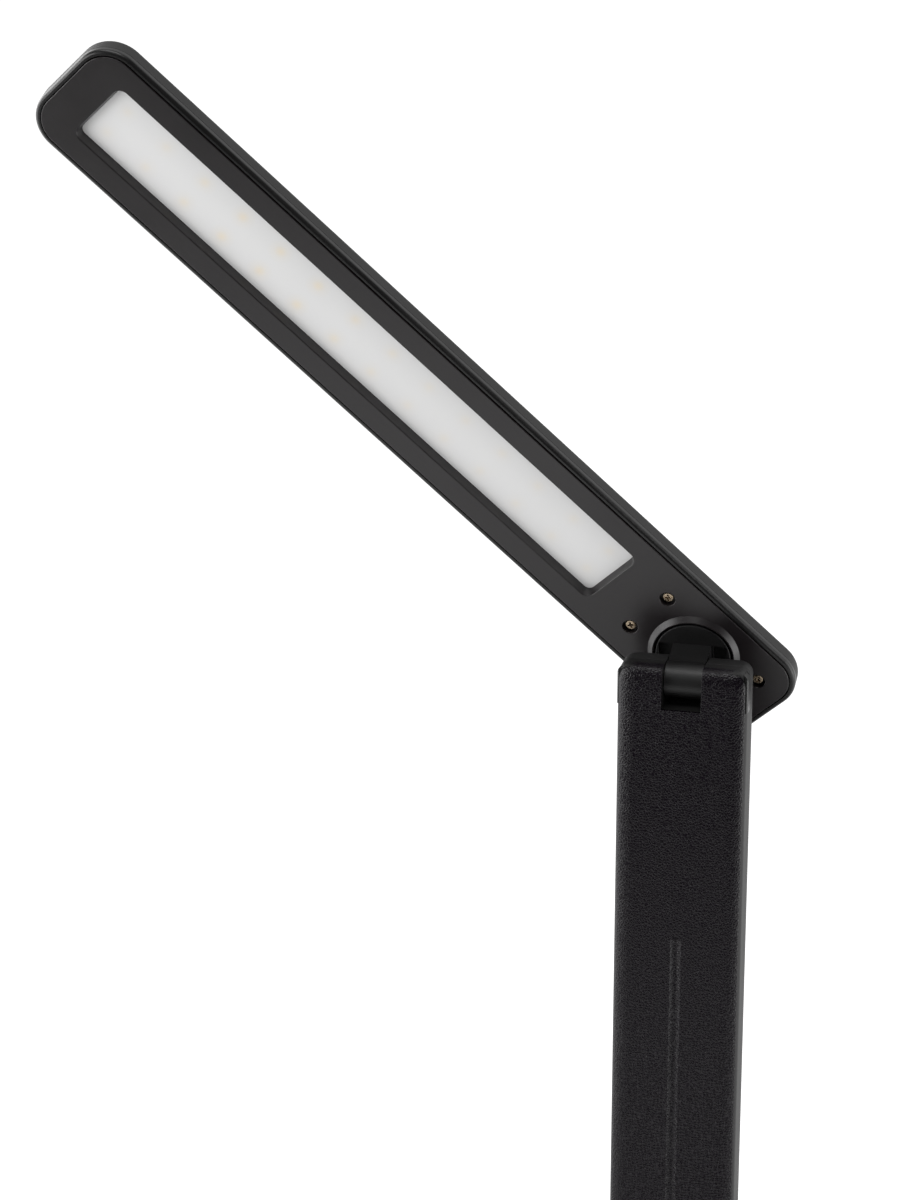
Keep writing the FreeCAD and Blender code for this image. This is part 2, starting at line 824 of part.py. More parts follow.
def hinge_axle(slot_width, radius):
    """Headed pin through both ears and the piece between them."""
    start = -hardware_start(slot_width)
    head = rod_x(axle_head_radius, start - axle_head_height, start)
    shank = rod_x(radius, start, axle_end(slot_width))
    return fuse_all([head, shank])


def spring_washers(slot_width, radius):
    """Washers that press the joint together so that it stays where it is put."""
    shapes = []
    step = spring_washer_thickness + seat_clearance
    for index in range(spring_washer_count):
        x = hardware_start(slot_width) + index * step
        ring = rod_x(spring_washer_radius, x, x + spring_washer_thickness)
        hole = rod_x(radius + pin_clearance, x - overrun, x + spring_washer_thickness + overrun)
        shapes.append(ring.cut(hole))
    return Part.makeCompound(shapes)


def axle_nut(slot_width, radius):
    """Hexagon nut on the end of the axle."""
    x = hardware_start(slot_width) + washer_stack
    corner_radius = nut_across_flats / math.sqrt(3)
    points = []
    for index in range(7):
        angle = math.radians(60 * index)
        points.append(vector(x, corner_radius * math.cos(angle), corner_radius * math.sin(angle)))
    nut = Part.Face(Part.makePolygon(points)).extrude(vector(nut_height, 0, 0))
    return nut.cut(rod_x(radius + pin_clearance, x - overrun, x + nut_height + overrun))


def shell_screws():
    shapes = []
    seat = shell_screw_seat()
    for x, z in shell_screw_places():
        head = rod_y(shell_screw_head_radius, seat, seat + shell_screw_head_height, x, z)
        shank = rod_y(shell_screw_radius, seat - shell_screw_length, seat, x, z)
        shapes.append(fuse_all([head, shank]))
    return Part.makeCompound(shapes)


def stem_lead():
    """Two-core lead that lies on the ribs between the two brackets."""
    end = slot_floor_bottom + bracket_thickness + 2 * seat_clearance
    return rod_z(stem_lead_radius, -stem_axle_spacing + end, -end)


# Pieces of the knuckle, upright, in the frame of the tilt axle

def retainer_screw_places():
    places = []
    for index in range(retainer_screw_count):
        angle = 2 * math.pi * index / retainer_screw_count + math.pi / 2
        x = retainer_screw_circle_radius * math.cos(angle)
        z = retainer_screw_circle_radius * math.sin(angle)
        places.append((x, z))
    return places


def tilt_knuckle():
    """Barrel on the axle, flat neck, pocketed swivel disc and the hub behind it."""
    half_width = knuckle_width / 2
    half_neck = neck_thickness / 2
    barrel = rod_x(barrel_radius, -half_width, half_width)
    disc_face = swivel_offset + disc_front
    disc_back = swivel_offset + swivel_disc_back
    neck = block(-half_width, half_width, 0, disc_back, -half_neck, half_neck)
    disc = rod_y(swivel_disc_radius, disc_face, disc_back)
    rim = edges_where(disc, lambda b: at_level(b.YMin, b.YMax, disc_face))
    disc = disc.makeFillet(moving_clearance, rim)
    pocket_half = swivel_pocket_height / 2
    for side in (-1, 1):
        near = side * (half_width + swivel_pocket_side_gap)
        far = side * (math.sqrt(swivel_disc_radius ** 2 - pocket_half ** 2) - swivel_pocket_rim)
        disc = disc.cut(block(min(near, far), max(near, far), disc_face - overrun,
                              disc_face + swivel_pocket_depth, -pocket_half, pocket_half))
    hub = rod_y(swivel_hub_radius, disc_face + swivel_pocket_depth, swivel_offset + hub_end)
    knuckle = fuse_all([barrel, neck, disc, hub])
    reach = half_width + overrun
    knuckle = knuckle.cut(rod_x(tilt_axle_radius + pin_clearance, -reach, reach))
    hub_back = swivel_offset + hub_end
    for x, z in retainer_screw_places():
        hole_radius = retainer_screw_radius + pin_clearance
        start = hub_back - retainer_screw_grip - seat_clearance
        knuckle = knuckle.cut(rod_y(hole_radius, start, hub_back + overrun, x, z))
    return knuckle


def swivel_washer():
    """Sliding ring between the flange of the lower cover and the retainer."""
    inner = swivel_hub_radius + hub_clearance
    front = swivel_offset + washer_front
    back = swivel_offset + hub_end
    ring = rod_y(inner + swivel_washer_width, front, back)
    return ring.cut(rod_y(inner, front - overrun, back + overrun))


def swivel_retainer():
    """Steel disc screwed to the end of the hub; it keeps the head on the knuckle."""
    front = swivel_offset + hub_end
    back = front + retainer_thickness
    disc = rod_y(retainer_radius, front, back)
    disc = disc.cut(rod_y(retainer_hole_radius, front - overrun, back + overrun))
    for x, z in retainer_screw_places():
        hole_radius = retainer_screw_radius + pin_clearance
        disc = disc.cut(rod_y(hole_radius, front - overrun, back + overrun, x, z))
    return disc


def retainer_screws():
    shapes = []
    seat = swivel_offset + hub_end + retainer_thickness
    tip = swivel_offset + hub_end - retainer_screw_grip
    for x, z in retainer_screw_places():
        head = rod_y(retainer_screw_head_radius, seat, seat + retainer_screw_head_height, x, z)
        shank = rod_y(retainer_screw_radius, tip, seat, x, z)
        shapes.append(fuse_all([head, shank]))
    return Part.makeCompound(shapes)


# Pieces of the head, upright, from the centre of the swivel in the plane of the lower cover

def head_screw_places():
    x = head_screw_spacing_across / 2
    z = head_screw_spacing_along / 2
    return [(sx * x, sz * z) for sx in (-1, 1) for sz in (-1, 1)]


def head_screw_seat():
    return head_screw_sink + head_screw_head_height


def head_top_cover():
    """Grained back shell of the head with four screw posts."""
    shell = head_plate(0, rim_height, head_thickness)
    edges = edges_where(shell, lambda b: at_level(b.YMin, b.YMax, head_thickness))
    shell = shell.makeFillet(head_back_edge_radius, edges)
    shell = shell.cut(head_plate(head_side_wall, rim_height - overrun, head_inner_back))
    post_front = head_screw_seat() + head_boss_wall + seat_clearance
    for x, z in head_screw_places():
        shell = shell.fuse(rod_y(head_post_radius, post_front, head_inner_back + seat_clearance, x, z))
    hole_end = head_inner_back - head_post_floor
    for x, z in head_screw_places():
        hole_radius = head_screw_radius + pin_clearance
        shell = shell.cut(rod_y(hole_radius, post_front - overrun, hole_end, x, z))
    return shell.removeSplitter()


def head_rim_frame():
    """Smooth frame with a rounded outer edge and a ledge that carries the lower cover."""
    frame = head_plate(0, rim_drop, rim_height - seat_clearance)
    edges = edges_where(frame, lambda b: at_level(b.YMin, b.YMax, rim_drop))
    frame = frame.makeFillet(rim_edge_radius, edges)
    frame = frame.cut(head_plate(rim_wall, -overrun, cover_thickness + seat_clearance))
    return frame.cut(head_plate(rim_wall + rim_ledge, -overrun, rim_height + overrun))


def window_plate(grow, y_from, y_to):
    """A slice of the diffuser window's outline, made larger by grow."""
    half = window_width / 2 + grow
    radius = window_corner_radius + grow
    low = window_start - grow
    high = window_end + grow
    return stand_up(slab(-half, half, low, high, -y_to, -y_from, radius))


def window_funnel():
    """Sloping cutter of the recess, widest at the light side."""
    wires = []
    for depth, inset in ((0, 0), (window_depth, window_slope_inset)):
        half = window_width / 2 - inset
        radius = window_corner_radius - inset
        wires.append(rounded_outline(-half, half, window_start + inset, window_end - inset, radius,
                                     -depth))
    return stand_up(Part.makeLoft(wires, True, True))


def swivel_collar():
    """Raised ring round the swivel with the inner flange that the disc is held against."""
    bore_radius = swivel_disc_radius + moving_clearance
    flange_bore = swivel_hub_radius + hub_clearance
    outline = [(collar_radius, 0), (collar_crest_outer_radius, -collar_height)]
    outline += [(collar_crest_inner_radius, -collar_height), (bore_radius, -collar_lead_in)]
    outline += [(bore_radius, flange_front), (flange_bore, flange_front)]
    outline += [(flange_bore, flange_back), (collar_radius, flange_back), (collar_radius, 0)]
    points = [vector(radius, y, 0) for radius, y in outline]
    face = Part.Face(Part.makePolygon(points))
    return face.revolve(vector(0, 0, 0), vector(0, 1, 0), 360)


def head_bottom_cover():
    """Matt plate with the diffuser recess, the swivel collar and four sunk screw bosses."""
    plate = head_plate(cover_inset, 0, cover_thickness)
    edges = edges_where(plate, lambda b: at_level(b.YMin, b.YMax, 0))
    plate = plate.makeFillet(cover_edge_radius, edges)
    surround = window_plate(window_surround, cover_thickness - seat_clearance, window_depth)
    hole = rod_y(collar_radius - seat_clearance, -overrun, cover_thickness + overrun)
    cover = plate.fuse(surround).cut(hole).cut(window_funnel())
    seat = head_screw_seat()
    for x, z in head_screw_places():
        boss_front = cover_thickness - seat_clearance
        cover = cover.fuse(rod_y(head_boss_radius, boss_front, seat + head_boss_wall, x, z))
    cover = cover.fuse(swivel_collar())
    for x, z in head_screw_places():
        cover = cover.cut(rod_y(head_screw_radius + pin_clearance, -overrun, head_thickness, x, z))
        cover = cover.cut(rod_y(head_screw_counterbore_radius, -overrun, seat, x, z))
    return cover.removeSplitter()


def head_screws():
    shapes = []
    seat = head_screw_seat()
    tip = head_inner_back - head_post_floor - head_screw_end_gap
    for x, z in head_screw_places():
        head = rod_y(head_screw_head_radius, head_screw_sink, seat, x, z)
        edges = edges_where(head, lambda b: at_level(b.YMin, b.YMax, head_screw_sink))
        head = head.makeFillet(head_screw_head_height / 2, edges)
        shank = rod_y(head_screw_radius, seat, tip, x, z)
        shapes.append(fuse_all([head, shank]))
    return Part.makeCompound(shapes)


def diffuser():
    front = window_depth + seat_clearance
    return window_plate(window_surround - seat_clearance, front, front + diffuser_thickness)


def led_board():
    half = led_board_width / 2
    back = board_front + led_board_thickness
    return block(-half, half, board_front, back, window_start, window_end)


def leds(start_share, count):
    """Two rows of lamps on the board; the first one lies start_share of a pitch from its end."""
    shapes = []
    row = led_pitch * led_count_per_row
    first = (window_start + window_end - row) / 2 + led_pitch * start_share
    for side in (-1, 1):
        x = side * led_row_spacing / 2
        for index in range(count):
            z = first + index * led_pitch
            front = board_front - led_height
            shapes.append(block(x - led_width / 2, x + led_width / 2, front, board_front,
                                z - led_length / 2, z + led_length / 2))
    return Part.makeCompound(shapes)


def head_lead():
    """Thin lead from above the swivel to the end of the board, laid on the back shell."""
    y = head_inner_back - head_lead_radius - seat_clearance
    start = retainer_radius + moving_clearance
    return rod_z(head_lead_radius, start, window_start - seat_clearance, 0, y)


warm_led_start_share = 0.5
cool_led_start_share = 1.0

base_nodes = {
    "rubber_pad": rubber_pad(),
    "base_bottom_cover": base_bottom_cover(),
    "base_top_cover": base_top_cover(),
    "base_weight": base_weight(),
    "base_screws": base_screws(),
    "hinge_post": hinge_post(),
    "hinge_flange_screws": hinge_flange_screws(),
    "touch_panel": touch_panel(),
    "touch_sensors": touch_sensors(),
    "control_board": control_board(),
    "power_socket": power_socket(),
}

stem_nodes = {
    "stem_front_shell": stem_front_shell(),
    "stem_leather_panel": stem_leather_panel(),
    "stem_rear_shell": stem_rear_shell(),
    "upper_left_cap": side_cap(-1),
    "upper_right_cap": side_cap(1),
    "lower_left_cap": turn_to_lower_end(side_cap(1)),
    "lower_right_cap": turn_to_lower_end(side_cap(-1)),
    "upper_hinge_bracket": hinge_bracket(upper_slot_width, tilt_axle_radius),
    "lower_hinge_bracket": turn_to_lower_end(hinge_bracket(lower_slot_width, fold_axle_radius)),
    "bracket_screws": bracket_screws(),
    "tilt_axle": hinge_axle(upper_slot_width, tilt_axle_radius),
    "tilt_spring_washers": spring_washers(upper_slot_width, tilt_axle_radius),
    "tilt_nut": axle_nut(upper_slot_width, tilt_axle_radius),
    "fold_axle": turn_to_lower_end(hinge_axle(lower_slot_width, fold_axle_radius)),
    "fold_spring_washers": turn_to_lower_end(spring_washers(lower_slot_width, fold_axle_radius)),
    "fold_nut": turn_to_lower_end(axle_nut(lower_slot_width, fold_axle_radius)),
    "shell_screws": shell_screws(),
    "stem_lead": stem_lead(),
}

knuckle_nodes = {
    "tilt_knuckle": tilt_knuckle(),
    "swivel_washer": swivel_washer(),
    "swivel_retainer": swivel_retainer(),
    "retainer_screws": retainer_screws(),
}

head_nodes = {
    "head_top_cover": head_top_cover(),
    "head_rim_frame": head_rim_frame(),
    "head_bottom_cover": head_bottom_cover(),
    "head_screws": head_screws(),
    "diffuser": diffuser(),
    "led_board": led_board(),
    "warm_leds": leds(warm_led_start_share, led_count_per_row),
    "cool_leds": leds(cool_led_start_share, led_count_per_row - 1),
    "head_lead": head_lead(),
}

nodes = dict(base_nodes)
for name, shape in stem_nodes.items():
    nodes[name] = place_in_stem(shape)
for name, shape in knuckle_nodes.items():
    nodes[name] = place_in_knuckle(shape)
for name, shape in head_nodes.items():
    nodes[name] = place_in_head(shape)

os.makedirs("parts", exist_ok=True)
for name, shape in nodes.items():
    shape.exportStep("parts/" + name + ".step")
print(len(nodes), "nodes written")
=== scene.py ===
import json
import math
from contextlib import contextmanager

import bmesh
import bpy
import numpy as np
from bpy.props import FloatProperty, FloatVectorProperty, IntProperty, PointerProperty
from mathutils import Matrix, Vector
from mathutils.geometry import delaunay_2d_cdt


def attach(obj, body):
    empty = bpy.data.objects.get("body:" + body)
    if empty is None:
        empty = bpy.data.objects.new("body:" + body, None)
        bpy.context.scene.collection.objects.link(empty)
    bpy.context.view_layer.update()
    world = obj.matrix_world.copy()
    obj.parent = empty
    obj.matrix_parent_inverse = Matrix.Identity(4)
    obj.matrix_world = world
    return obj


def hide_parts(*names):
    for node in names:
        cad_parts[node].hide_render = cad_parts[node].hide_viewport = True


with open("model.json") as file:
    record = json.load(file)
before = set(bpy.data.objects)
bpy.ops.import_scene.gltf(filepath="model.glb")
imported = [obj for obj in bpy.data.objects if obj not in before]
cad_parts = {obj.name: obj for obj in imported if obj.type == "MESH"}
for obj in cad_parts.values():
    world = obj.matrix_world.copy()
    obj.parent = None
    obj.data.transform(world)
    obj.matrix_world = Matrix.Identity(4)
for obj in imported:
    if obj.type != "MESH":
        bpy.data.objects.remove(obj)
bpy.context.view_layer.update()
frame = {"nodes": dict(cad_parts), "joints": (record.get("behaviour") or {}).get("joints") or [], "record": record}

bl_info = {
    "name": "Folding LED desk lamp",
    "version": (1, 0, 0),
    "blender": (4, 5, 0),
    "location": "View3D > Sidebar > Desk lamp",
    "description": "Dresses the pieces of a folding desk lamp and builds its stage",
    "category": "Object",
}

# Metres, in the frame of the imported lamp. MM turns a size in millimetres into metres.
MM = 0.001
WELD = 0.002 * MM
SEAT = 0.05 * MM  # room between two pieces that lie on each other

joints = {joint["name"]: joint for joint in frame["joints"]}
tilt_axle = np.array(joints["head_tilt"]["pos_m"])
fold_axle = np.array(joints["stem_fold"]["pos_m"])
axle_spacing = tilt_axle[2] - fold_axle[2]
swivel_centre = np.array(joints["head_swivel"]["pos_m"])
swivel_axis = joints["head_swivel"]["axis"]
head_lean = math.atan2(swivel_axis[2], swivel_axis[1])
head_turn = -math.radians(90 + joints["head_swivel"]["range_deg"][0])
head_matrix = (np.array(Matrix.Rotation(head_lean, 3, "X"))
               @ np.array(Matrix.Rotation(head_turn, 3, "Y")))


def length(name, millimetres, description):
    """A length that a user may change, shown in the scene's own units."""
    return FloatProperty(name=name, description=description, default=millimetres * MM,
                         unit="LENGTH", precision=5)


def angle(name, degrees, description):
    """An angle that a user may change."""
    return FloatProperty(name=name, description=description, default=math.radians(degrees),
                         subtype="ANGLE")


def colour(name, default, description):
    """A base colour that a user may change."""
    return FloatVectorProperty(name=name, description=description, default=default,
                               subtype="COLOR")


class HeadSizes(bpy.types.PropertyGroup):
    width: length("Width", 42.6, "Across the head")
    reach: length("Reach", 273, "From the swivel to the far end")
    tail: length("Tail", 32.3, "From the swivel to the near end")
    thickness: length("Thickness", 8.7, "From the lower cover's face to the back")
    corner_radius: length("Corner radius", 11.7, "Round corners of the outline")
    back_edge: length("Back edge", 2.5, "Rounding round the back shell")
    side_wall: length("Side wall", 1.5, "Wall of the back shell at its sides")
    back_wall: length("Back wall", 1.6, "Wall of the back shell at its back")
    rim_height: length("Rim height", 2.7, "Depth of the smooth frame")
    rim_wall: length("Rim wall", 1.75, "Width of the smooth frame beside the lower cover")
    rim_ledge: length("Rim ledge", 1.8, "Ledge under the lower cover")
    rim_edge: length("Rim edge", 1.25, "Rounding of the frame's outer edge")
    rim_drop: length("Rim drop", 0.3, "How far the frame lies behind the lower cover's face")
    cover_seam: length("Cover seam", 0.35, "Gap round the lower cover")
    cover_thickness: length("Cover thickness", 1.4, "Wall of the lower cover")
    cover_edge: length("Cover edge", 0.22, "Rounding of the lower cover's edge")
    window_start: length("Window start", 37.2, "From the swivel to the diffuser window")
    window_end: length("Window end", 258.7, "From the swivel to the window's far end")
    window_width: length("Window width", 23.6, "Across the diffuser window")
    window_corner: length("Window corner", 3.0, "Round corners of the window")
    window_depth: length("Window depth", 3.1, "From the face to the diffuser")
    window_slope: length("Window slope", 0.85, "How far the window's wall leans in")
    window_surround: length("Window surround", 1.3, "Wall round the window behind the plate")
    diffuser_thickness: length("Diffuser thickness", 1.5, "Frosted plate")
    collar_radius: length("Collar foot", 15.1, "Radius where the collar leaves the plate")
    collar_crest_outer: length("Collar crest, outside", 13.6, "Outer radius of the crest")
    collar_crest_inner: length("Collar crest, inside", 13.2, "Inner radius of the crest")
    collar_bore: length("Collar bore", 12.6, "Radius round the swivel disc")
    collar_height: length("Collar height", 1.5, "How far the collar stands out of the plate")
    collar_lead_in: length("Collar lead-in", 0.7, "How far the mouth of the collar flares")
    flange_bore: length("Flange bore", 9.3, "Radius of the hole in the flange")
    flange_front: length("Flange front", 1.3, "Front of the flange inside the collar")
    flange_back: length("Flange back", 2.9, "Back of the flange inside the collar")
    led_pitch: length("Diode pitch", 15.9, "Between two warm diodes")
    led_rows: length("Diode rows", 10.6, "Between the two rows")
    led_count: IntProperty(name="Diodes", description="Warm diodes in a row", default=14)


class ScrewSizes(bpy.types.PropertyGroup):
    along: length("Spacing along", 41.2, "Between the screws, along the head")
    across: length("Spacing across", 17.5, "Between the screws, across the head")
    head_radius: length("Head radius", 1.85, "Radius of a screw's head")
    head_height: length("Head height", 1.0, "Height of a screw's head")
    sink: length("Sink", 0.95, "How deep the head lies below the plate")
    shank_radius: length("Shank radius", 1.0, "Radius of the shank")
    tip: length("Tip", 6.35, "Depth of the screw's end")
    counterbore: length("Counterbore", 2.55, "Radius of the hole round a head")
    hole_radius: length("Hole radius", 1.05, "Radius of the hole for the shank")
    boss_radius: length("Boss radius", 3.4, "Radius of the boss under a head")
    boss_wall: length("Boss wall", 1.0, "Wall under a head")
    cross_reach: length("Cross reach", 1.15, "Half the length of the driving cross")
    cross_width: length("Cross width", 0.38, "Half the width of an arm of the cross")
    cross_depth: length("Cross depth", 0.75, "Depth of the cross at its middle")


class PostSizes(bpy.types.PropertyGroup):
    width: length("Width", 42, "Across the post")
    depth: length("Depth", 17, "Front to back")
    end_reach: length("End reach", 6, "Past each axle")
    skin_side: length("Skin side", 6, "Width of the rounding along the panel's long edges")
    skin_end: length("Skin end", 5.0, "Length of the rounding at the panel's ends")
    skin_fall: length("Skin fall", 2.6, "Depth of the panel's rounding")
    leather_thickness: length("Leather thickness", 1.2, "Panel on the front of the post")
    leather_wrap: length("Leather wrap", 1.43, "How far the panel follows the rounded edges")
    upper_slot: length("Upper slot", 12.9, "Width of the slot for the knuckle")
    lower_slot: length("Lower slot", 22.6, "Width of the slot for the hinge post")
    slot_floor: length("Slot floor", 8, "Depth of both slots below their axle")
    groove_width: length("Groove width", 3.6, "Long groove in the panel")
    groove_depth: length("Groove depth", 0.85, "Depth of that groove")
    groove_top: length("Groove top", 86, "From the tilt axle to the groove")
    groove_bottom: length("Groove bottom", 40, "From the fold axle to the groove")
    shell_end: length("Shell end", 3.2, "Rounding of the shells' two ends")
    cap_root: length("Cap root", 19.85, "From the middle to the back of a side cap")
    cap_proud: length("Cap proud", 0.2, "How far a side cap stands out")
    cap_front: length("Cap front", 1.85, "From the front of the post to a side cap")
    cap_depth: length("Cap depth", 4.7, "Front to back of a side cap")
    cap_height: length("Cap height", 13.5, "Length of a side cap")
    cap_edge: length("Cap edge", 0.8, "Rounding of a side cap's front edge")
    grain_size: length("Grain size", 0.95, "Across a pebble of the leather grain")
    grain_depth: length("Grain depth", 0.07, "Depth of the creases between the pebbles")


class Finishes(bpy.types.PropertyGroup):
    plate: colour("Lower cover", (0.0080, 0.0060, 0.0068), "Matt plastic")
    rim: colour("Rim", (0.006, 0.0059, 0.0059), "Smooth plastic")
    shell: colour("Back shell", (0.007, 0.0066, 0.0066), "Grained plastic")
    post: colour("Post", (0.008, 0.0079, 0.0079), "Satin plastic")
    knuckle: colour("Knuckle", (0.005, 0.0049, 0.005), "Half-gloss plastic")
    leather: colour("Imitation leather", (0.0026, 0.0012, 0.0031), "Pebbled skin")
    diffuser: colour("Diffuser", (0.73, 0.73, 0.728), "Frosted plastic")
    spot: colour("Diode spot", (0.765, 0.708, 0.61), "Where a warm diode shows through")


class StageSizes(bpy.types.PropertyGroup):
    camera_place: FloatVectorProperty(name="Camera place", description="Where the camera stands",
                                      subtype="TRANSLATION", precision=5,
                                      default=(0.18552, -0.99414, 0.7066))
    camera_tilt: angle("Camera tilt", 18.25, "Down from level")
    camera_turn: angle("Camera turn", 14.08, "To the left")
    lens: FloatProperty(name="Lens", description="Focal length for a 36 mm tall sensor",
                        default=105.78, unit="CAMERA")
    table_front: length("Table front", 420, "From the origin to the table's edge")
    table_reach: length("Table reach", 7000, "To the back and to both sides")
    fill: FloatProperty(name="Fill", description="Even light of the surroundings", default=0.42)
    tent_radius: length("Tent radius", 5000, "Of the dark tent")
    tent_tone: FloatProperty(name="Tent tone", description="What gloss shows of the tent",
                             default=0.025)


SETTINGS = {"lamp_head": HeadSizes, "lamp_screws": ScrewSizes, "lamp_post": PostSizes,
            "lamp_finish": Finishes, "lamp_stage": StageSizes}


def place_in_head(points):
    """Turned on the swivel, leaned forward and moved to the swivel's centre."""
    return points @ head_matrix.T + swivel_centre


def place_in_post(points):
    return points + tilt_axle


def points_of(x, y, z):
    """One list of points from three grids."""
    return np.stack(np.broadcast_arrays(x, y, z), axis=-1).reshape(-1, 3)


def flat_in_head(rings, levels):
    """Points (across, depth, along) from rings (across, along) and their depths."""
    return points_of(rings[..., 0], np.asarray(levels, float)[:, None], rings[..., 1])


def grid_quads(rows, columns, close_rows=False, close_columns=True):
    """Quads between the neighbours of a grid of points, as indices row * columns + column."""
    row = np.arange(rows if close_rows else rows - 1)
    column = np.arange(columns if close_columns else columns - 1)
    row, column = np.meshgrid(row, column, indexing="ij")
    next_row = (row + 1) % rows * columns
    next_column = (column + 1) % columns
    row = row * columns
    return np.stack((row + column, row + next_column, next_row + next_column, next_row + column),
                    axis=-1).reshape(-1, 4)


def rounding(centre, radius, start, end, steps=4):
    """Points of an arc: centre + radius * (cos a, sin a), with a from start to end degrees."""
    turn = np.radians(np.linspace(start, end, steps + 1))
    return np.asarray(centre) + radius * np.column_stack((np.cos(turn), np.sin(turn)))


def outline_rings(low, high, corner, insets, steps=16):
    """Rectangles with round corners, each drawn in by its inset: the corner's centre, which stays,
    plus (corner - inset) * (cos a, sin a); past that the corner is sharp and moves in."""
    inset = np.asarray(insets, float)[:, None]
    radius = np.maximum(corner - inset, 0)
    back = np.maximum(corner, inset)
    corners = []
    for index, (side_u, side_v) in enumerate(((1, 1), (-1, 1), (-1, -1), (1, -1))):
        turn = np.radians(90 * index + np.linspace(0, 90, steps + 1))
        centre_u = high[0] - back if side_u > 0 else low[0] + back
        centre_v = high[1] - back if side_v > 0 else low[1] + back
        corners.append(np.stack((centre_u + radius * np.cos(turn),
                                 centre_v + radius * np.sin(turn)), axis=-1))
    return np.concatenate(corners, axis=1)


def circle_rings(centre, radii, steps):
    """Circles round one centre: centre + radius * (cos a, sin a)."""
    turn = np.linspace(0, 2 * math.pi, steps, endpoint=False)
    unit = np.column_stack((np.cos(turn), np.sin(turn)))
    return np.asarray(centre) + np.asarray(radii, float)[:, None, None] * unit


def flat_face(loops, depth):
    """Triangles that fill the first loop and leave out the others, all at one depth: a constrained
    triangulation, of which each triangle stays whose middle lies inside an odd number of loops."""
    edges = []
    first = 0
    for loop in loops:
        ring = first + np.arange(len(loop))
        edges.append(np.column_stack((ring, np.roll(ring, -1))))
        first += len(loop)
    flat = np.concatenate(loops)
    result = delaunay_2d_cdt([Vector(point) for point in flat / MM], np.concatenate(edges).tolist(),
                             [], 1, 1e-7, False)
    points = np.array([tuple(point) for point in result[0]]) * MM
    faces = np.array(result[2])
    middle = points[faces].mean(axis=1)
    crossings = np.zeros(len(middle), int)
    for loop in loops:
        end = np.roll(loop, -1, axis=0)
        spans = (loop[:, 1] > middle[:, 1, None]) != (end[:, 1] > middle[:, 1, None])
        rise = np.where(end[:, 1] == loop[:, 1], 1, end[:, 1] - loop[:, 1])
        reach = (middle[:, 1, None] - loop[:, 1]) * (end[:, 0] - loop[:, 0]) / rise + loop[:, 0]
        crossings += np.sum(spans & (middle[:, 0, None] < reach), axis=1)
    return flat_in_head(points[None], [depth]), faces[crossings % 2 == 1]


def joined(parts):
    """One list of points and one of faces from several."""
    points = []
    faces = []
    first = 0
    for part_points, part_faces in parts:
        points.append(part_points)
        faces += (np.asarray(part_faces) + first).tolist()
        first += len(part_points)
    return np.concatenate(points), faces


@contextmanager
def edited(mesh):
    """A mesh opened for editing, which is written back at the end."""
    shape = bmesh.new()
    shape.from_mesh(mesh)
    yield shape
    shape.to_mesh(mesh)
    shape.free()


def finish_mesh(mesh, recalculate=True):
    """Closes the seams, points the faces outwards and marks the sharp edges."""
    with edited(mesh) as shape:
        bmesh.ops.remove_doubles(shape, verts=shape.verts, dist=WELD)
        bmesh.ops.dissolve_degenerate(shape, edges=shape.edges, dist=WELD / 4)
        if recalculate:
            bmesh.ops.recalc_face_normals(shape, faces=shape.faces)
    mesh.shade_smooth()
    mesh.set_sharp_from_angle(angle=math.radians(40))


def add_piece(name, parts, place, body, nodes, material):
    """A new piece from its parts, which rides on a body and stands for CAD nodes."""
    points, faces = joined(parts)
    mesh = bpy.data.meshes.new(name)
    mesh.from_pydata(place(points).tolist(), [], faces)
    finish_mesh(mesh)
    return link_piece(name, mesh, body, nodes, material)


def add_object(name, data):
    """A new object of the scene."""
    thing = bpy.data.objects.new(name, data)
    bpy.context.scene.collection.objects.link(thing)
    return thing


def link_piece(name, mesh, body, nodes, material):
    """The mesh as a piece that rides on a body and stands for CAD nodes, in one material."""
    mesh.materials.clear()
    mesh.materials.append(material)
    piece = add_object(name, mesh)
    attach(piece, body)
    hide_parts(*nodes)
    return piece


def even_shading(piece):
    """Keeps flat faces flat beside their rounded edges."""
    modifier = piece.modifiers.new("even shading", "WEIGHTED_NORMAL")
    modifier.keep_sharp = True
    return piece


def soften(piece, width):
    """Rounds every sharp edge of a piece."""
    modifier = piece.modifiers.new("soft edges", "BEVEL")
    modifier.width = width
    modifier.segments = 3
    modifier.limit_method = "ANGLE"
    modifier.angle_limit = math.radians(32)
    modifier.harden_normals = False
    return even_shading(piece)


def softened_copy(node, name, width, body, material):
    """A copy of a CAD node, welded, with flat areas made whole and its sharp edges rounded."""
    mesh = frame["nodes"][node].data.copy()
    with edited(mesh) as shape:
        bmesh.ops.remove_doubles(shape, verts=shape.verts, dist=WELD)
        bmesh.ops.dissolve_limit(shape, angle_limit=math.radians(0.4), verts=shape.verts,
                                 edges=shape.edges)
    finish_mesh(mesh, recalculate=False)
    return soften(link_piece(name, mesh, body, [node], material), width)


# Materials

def new_material(name):
    """An empty material with its shader and output, and the shader's node tree to add to."""
    material = bpy.data.materials.new(name)
    material.use_nodes = True
    return material, material.node_tree, material.node_tree.nodes["Principled BSDF"]


def feed(tree, node, **values):
    """Sets inputs of a node, each to a value or to the socket that it links from."""
    for key, value in values.items():
        socket = node.inputs[key.replace("_", " ")]
        if isinstance(value, bpy.types.NodeSocket):
            tree.links.new(value, socket)
        else:
            socket.default_value = value


def add_node(tree, kind, **values):
    """A node with its settings and its inputs."""
    node = tree.nodes.new(kind)
    for key, value in values.items():
        if hasattr(node, key):
            setattr(node, key, value)
        else:
            feed(tree, node, **{key: value})
    return node


def noise(tree, place, scale, detail, roughness=0.5):
    """Noise from 0 to 1, with a scale in cells per metre."""
    return add_node(tree, "ShaderNodeTexNoise", Vector=place, Scale=scale, Detail=detail,
                    Roughness=roughness).outputs


